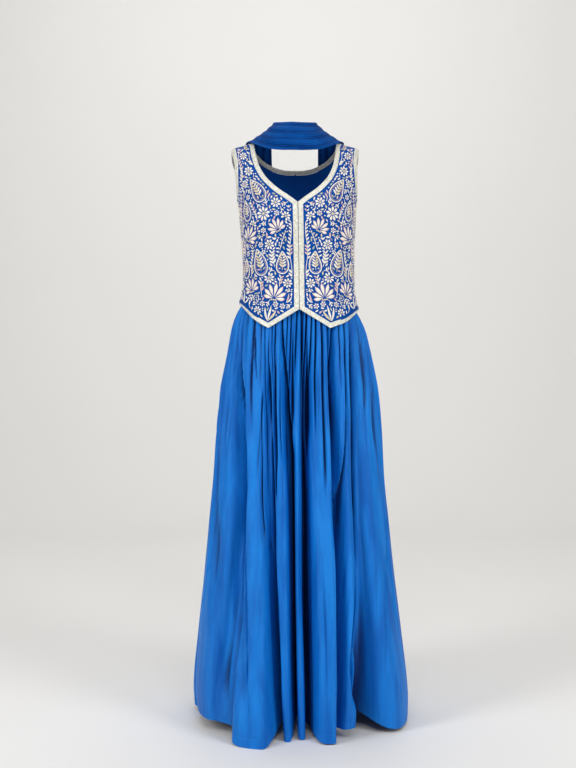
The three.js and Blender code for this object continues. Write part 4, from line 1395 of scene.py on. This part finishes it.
def gathers(place, height):
    count = skirtSize["gathersPerFold"]
    centres = (np.arange(gatherTotal) + 0.5) / count
    period = centres[-1] + 0.5 / count
    strength = np.interp(place, centres, gatherStrength, period=period)
    end = np.interp(place, centres, gatherEnd, period=period)
    shift = np.interp(place, centres, gatherShift, period=period)
    below, above = skirtSize["gatherFade"]
    grown = smoothStep(end + below, end + above, height)
    held = 1 - skirtSize["gatherTopLoss"] * smoothStep(*skirtSize["gatherTop"], height)
    depth = skirtSize["gatherDepth"] * strength * grown * held
    wave = np.cos(2 * math.pi * count * place + 2 * math.pi * shift)
    rounded = 1 - 2 * (0.5 - 0.5 * wave) ** 3
    coarse, fine = skirtSize["crinkleRates"]
    around = 2 * math.pi * count
    crinkle = np.cos(around * coarse * place + 1.3) + 0.6 * np.cos(around * fine * place)
    fade = smoothStep(*skirtSize["crinkleFade"], height)
    return depth * rounded + skirtSize["crinkleDepth"] * crinkle * fade


def trench(distance, width):  # steep sides with a little roll along both edges
    away = np.abs(distance) / width
    return 0.12 * np.exp(-2 * (away - 2.1) ** 2) - np.exp(-(away**3))


def creases(turn, height):
    turn, height = np.broadcast_arrays(turn, height)
    radius = np.linalg.norm(sectionPoint(skirtShape, turn, height)[..., :2], axis=-1)
    total = np.zeros(turn.shape)

    def away(centre):
        return np.radians((turn - centre + 180) % 360 - 180) * radius

    for depth, run in frontCreases:
        turns, heights, widths = np.array(run).T
        width = curveThrough(heights, widths)(np.clip(height, heights[0], heights[-1]))
        width = np.maximum(width, skirtSize["leastCrease"])
        foot = heights[0] + np.array(skirtSize["creaseFoot"])
        head = heights[-1] + np.array(skirtSize["creaseHead"])
        ends = smoothStep(*foot, height) * (1 - smoothStep(*head, height))
        strength = skirtSize["creaseDepth"] * depth * np.sqrt(width / widths.max()) * ends
        total += strength * trench(away(curveThrough(heights, turns)(height)), width)
    for i in range(len(backCreases["top"])):
        row = {name: values[i] for name, values in backCreases.items()}
        down = np.clip((row["top"] - height) / (row["top"] - row["foot"]), -0.5, 1.5)
        centre = row["topTurn"] + (row["footTurn"] - row["topTurn"]) * down
        ends = smoothStep(-0.12, 0.25, down) * (1 - smoothStep(0.6, 1.1, down))
        total += row["depth"] * ends * trench(away(centre), row["width"] * (1 + 0.8 * np.clip(down, 0, 1)))
    for i in range(skirtSize["fineCreases"]):
        row = {name: values[i] for name, values in thinCreases.items()}
        down = (row["top"] - height) / (row["top"] - row["foot"])
        ends = smoothStep(-0.1, 0.3, down) * (1 - smoothStep(0.55, 1.1, down))
        centre = row["turn"] + row["drift"] * np.clip(down, 0, 1)
        total += row["depth"] * ends * trench(away(centre), row["width"] * (1 + 0.5 * np.clip(down, 0, 1)))
    return total


def hemAndSeams(place, turn, height):
    depth = skirtSize["hemDepth"]
    doubled = skirtSize["hemRise"] * (1 - smoothStep(depth - 1.5, depth + 1, height))
    stitch = -skirtSize["stitchDepth"] * np.exp(-(((height - depth) / skirtSize["stitchWidth"]) ** 2))
    ripple = skirtSize["puckerDepth"] * np.sin(2 * math.pi * place * skirtSize["puckersPerFold"])
    pucker = ripple * np.exp(-(((height - depth) / skirtSize["puckerReach"]) ** 2))
    radius = skirtShape["halfWidth"](height)
    fromSeam = np.radians(np.abs(turn % 180 - 90)) * radius
    below = 1 - smoothStep(*skirtSize["seamFade"], height)
    short, long = skirtSize["seamWaves"]
    wave = np.sin(2 * math.pi * height / short) + 0.6 * np.sin(2 * math.pi * height / long + 1)
    ridge = skirtSize["seamDepth"] * wave * np.exp(-((fromSeam / skirtSize["seamReach"]) ** 2))
    groove = skirtSize["seamDepth"] * np.exp(-((fromSeam / skirtSize["seamGroove"]) ** 2))
    return doubled + stitch + pucker + below * (ridge - groove)


def skirtPanel(firstFold, direction):
    columns = foldCount // 2 * skirtSize["foldSteps"] + 1
    places = firstFold + np.linspace(0, foldCount / 2, columns)
    hemLevels = [0, 2, 6, 12, 18, 20.5, 22, 23.5, 26, 32]
    levels = np.concatenate([hemLevels, np.linspace(48, 1020, 50), [1028, 1036.7]])
    points = skirtPoints(places[None, :], levels[:, None])
    points[:, [0, -1], 1] += direction * skirtSize["seamShift"]
    lengths = np.linalg.norm(np.diff(points, axis=1), axis=-1).sum(axis=1)
    heights = np.linalg.norm(np.diff(points, axis=0), axis=-1).sum(axis=0)
    print("skirt panel: hem", round(lengths[0]), "waist", round(lengths[-1]), "length", round(heights.mean()))
    sheet = gridSheet(points)
    # painted shade: this mask darkens the skirt's colour where the cloth lies deep in its folds
    sheet["foldShadeMask"] = foldShadeFromDepth(points, levels)
    return sheet


def foldShadeFromDepth(points, levels):  # how far each place lies behind its neighbours, as a painted shade share from 0 to 1 for the fold valleys, softer at the sides
    reach = skirtSize["shadeReach"]
    radius = np.linalg.norm(points[..., :2], axis=-1)
    padded = np.pad(radius, ((0, 0), (reach, reach + 1)), mode="reflect")
    sums = np.cumsum(padded, axis=1)
    mean = (sums[:, 2 * reach + 1 :] - sums[:, : -2 * reach - 1]) / (2 * reach + 1)
    mean = mean[:, : radius.shape[1]]
    scale = fullShade(levels)[:, None]
    fromFront = np.degrees(np.arctan2(np.abs(points[..., 0]), -points[..., 1]))
    softer = 1 - skirtSize["sideSoftness"] * smoothStep(*skirtSize["softSides"], fromFront)
    return skirtSize["shadeShare"] * softer * smoothStep(0.1, 1, (mean - radius) / scale)


def makeSkirt(crepe):
    for name, node, first, direction, hemCut, area in (
        ("skirtFront", "skirt_front", 0, -1, 1.72, 1.37),
        ("skirtBack", "skirt_back", foldCount // 2, 1, 1.51, 1.06),
    ):
        wall = clothWall(name, skirtPanel(first, direction), skirtSize["thickness"])
        piece = setUp(wall, crepe, "skirt_crepe", node)
    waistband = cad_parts["skirt_waistband"]
    waistband.data.materials.clear()
    waistband.data.materials.append(crepe)


# ---------- dupatta
dupatta = {
    "thickness": 0.9,
    "acrossSteps": 96,
    "pleats": 4,
    "pleatDepth": 0.6,
    "finePleats": 17,
    "fineDepth": 1.0,
    "shoulderStation": 5.3,
    "tailClearance": 16,
}
drapeRows = table(
    "innerX innerY innerZ middleX middleY middleZ outerX outerY outerZ",
    (0, -74, 1469, 0, -98, 1434, 0, -100, 1396),
    (27, -66, 1471, 30, -92, 1435, 34, -96, 1396.5),
    (46, -42, 1476, 55, -74, 1440, 66, -82, 1403),
    (53, -14, 1482, 71, -44, 1450, 95, -56, 1418),
    (55, 12, 1484, 80, -8, 1459, 114, -24, 1431),
    (57, 36, 1478, 85, 28, 1457, 123, 14, 1438),
    (59, 62, 1456, 89, 62, 1441, 126, 52, 1433),
    (60, 90, 1419, 92, 92, 1405, 128, 84, 1393),
)
tailRows = table(
    "height innerX outerX",
    (1335, 59, 130),
    (1250, 57, 132),
    (1150, 55, 136),
    (1050, 52, 140),
    (950, 49, 145),
    (850, 46, 150),
    (750, 42, 155),
    (650, 38, 159),
    (560, 35, 163),
    (495, 33, 166),
)


def behindAt(x, height):
    body = bodice if height > waistcoat["hemSideHeight"] else skirtShape
    depth = float(body["middle"](height) + depthAtX(body, x, height, "back"))
    return depth + dupatta["tailClearance"]


def rail(name):  # one lengthwise line, from one tail's end over the neck to the other's
    overNeck = np.column_stack([drapeRows[name + axis] for axis in "XYZ"])
    reach, downBack = 0.0, []
    for height, inner, outer in zip(tailRows["height"], tailRows["innerX"], tailRows["outerX"]):
        x = {"inner": inner, "outer": outer, "middle": (inner + outer) / 2}[name]
        reach = max(reach, behindAt(x, height))
        downBack.append((x, reach, height))
    half = np.vstack([overNeck, downBack])
    return np.vstack([half[:0:-1] * [-1, 1, 1], half])


rails = [rail(name) for name in ("outer", "middle", "inner")]
tailEnd = len(drapeRows["innerX"]) + len(tailRows["height"]) - 1


def railPoint(points, station):  # even spline through the stations
    at = np.clip(np.asarray(station, float) + tailEnd, 0, 2 * tailEnd)
    i = np.minimum(at.astype(int), 2 * tailEnd - 1)
    t = (at - i)[..., None]
    padded = np.vstack([2 * points[0] - points[1], points, 2 * points[-1] - points[-2]])
    p0, p1, p2, p3 = padded[i], padded[i + 1], padded[i + 2], padded[i + 3]
    return 0.5 * (2 * p1 + (p2 - p0) * t + (2 * p0 - 5 * p1 + 4 * p2 - p3) * t**2
                  + (3 * p1 - p0 - 3 * p2 + p3) * t**3)


def drapePoints(station, share):
    q = (2 * share - 1)[:, None, None]
    outer, middle, inner = [railPoint(points, station)[None] for points in rails]
    return outer * q * (q - 1) / 2 + middle * (1 - q * q) + inner * q * (q + 1) / 2


def drapeStretch(stations):
    share = np.linspace(0, 1, dupatta["acrossSteps"] + 1)
    base = drapePoints(stations, share)
    along, acrossWay = np.gradient(base, axis=1), np.gradient(base, axis=0)
    normals = unit(np.cross(along, acrossWay))
    shift = 0.012 * np.sin(stations * 1.7) + 0.01 * np.sin(stations * 0.6 + 1)
    moved = share[:, None] + shift[None]
    wide = dupatta["pleatDepth"] * np.cos(2 * math.pi * dupatta["pleats"] * moved)
    swell = 0.6 + 0.4 * np.sin(2 * math.pi * (2.3 * share[:, None] + 0.13 * stations[None]))
    fine = dupatta["fineDepth"] * np.cos(2 * math.pi * dupatta["finePleats"] * moved + stations[None] * 0.5)
    sheet = gridSheet(base + normals * (wide + swell * fine)[..., None])
    # painted shade: the pleat valleys get a darker colour the deeper they sink
    sheet["foldShadeMask"] = 0.8 * smoothStep(-0.1, 1.3, -(wide + swell * fine))
    return sheet


def makeDupatta(chiffon):
    shoulder, gap = dupatta["shoulderStation"], 0.005
    front = drapeStretch(np.linspace(-shoulder + gap, shoulder - gap, 181))
    tail = drapeStretch(np.linspace(shoulder + gap, tailEnd, 231))
    pieces = {
        "dupattaFront": (front, "dupatta_front", (0.10, 0.36), 0.0335),
        "dupattaLeftTail": (tail, "dupatta_left_tail", (0.15, 1.00), 0.113),
        "dupattaRightTail": (mirrored(tail), "dupatta_right_tail", (0.15, 1.00), 0.113),
    }
    for name, (sheet, node, flat, area) in pieces.items():
        piece = setUp(clothWall(name, sheet, dupatta["thickness"]), chiffon, "dupatta_crepe", node)


# ---------- the set
makeCamera()
makeLights()
makeBackdrop(floorMaterial())
# The skirt and dupatta colours darken toward their fold shade colour, a painted shade in the fold valleys.
crepe = clothMaterial("skirtCrepe", linear(12, 123, 213), linear(0, 95, 184), 0.0007, 0.5, 0.00012,
                      0.5, sheen=0, patch=0.03, contrast=3.2, specular=0.2, foldShadeColour=linear(0, 18, 72),
                      crinkle=26, uprightScale=0.1)
silk = clothMaterial("waistcoatSilk", linear(0, 76, 158), linear(0, 62, 142), 0.0006, 0.4, 0.0001,
                     0.5, sheen=0, patch=0.05, contrast=2, specular=0.08)
tissue = clothMaterial("bandTissue", linear(240, 240, 230), linear(192, 190, 176), 0.0026, 0.5, 0.0003,
                       0.4, metallic=0.1, sheen=0.05, patch=0.004, contrast=2.4, specular=0.4)
chiffon = clothMaterial("dupattaCrepe", linear(0, 80, 158), linear(0, 62, 136), 0.0009, 0.5, 0.0002,
                        0.6, sheen=0, patch=0.03, contrast=2, specular=0.08, foldShadeColour=linear(0, 26, 84))
threads = {
    "ivory": threadMaterial("threadIvory", linear(250, 246, 234), linear(226, 216, 198)),
    "gold": threadMaterial("threadGold", linear(238, 226, 190), linear(204, 188, 146), 0.1),
    "pink": threadMaterial("threadPink", linear(236, 208, 200), linear(196, 156, 150)),
    "green": threadMaterial("threadGreen", linear(196, 204, 172), linear(146, 158, 128)),
}
print("materials made")
makeSkirt(crepe)
print("skirt made")
makeWaistcoat(silk)
makeBands(tissue)
print("waistcoat and bands made")
makeEmbroidery(threads)
print("embroidery made")
makeDupatta(chiffon)
print("dupatta made")
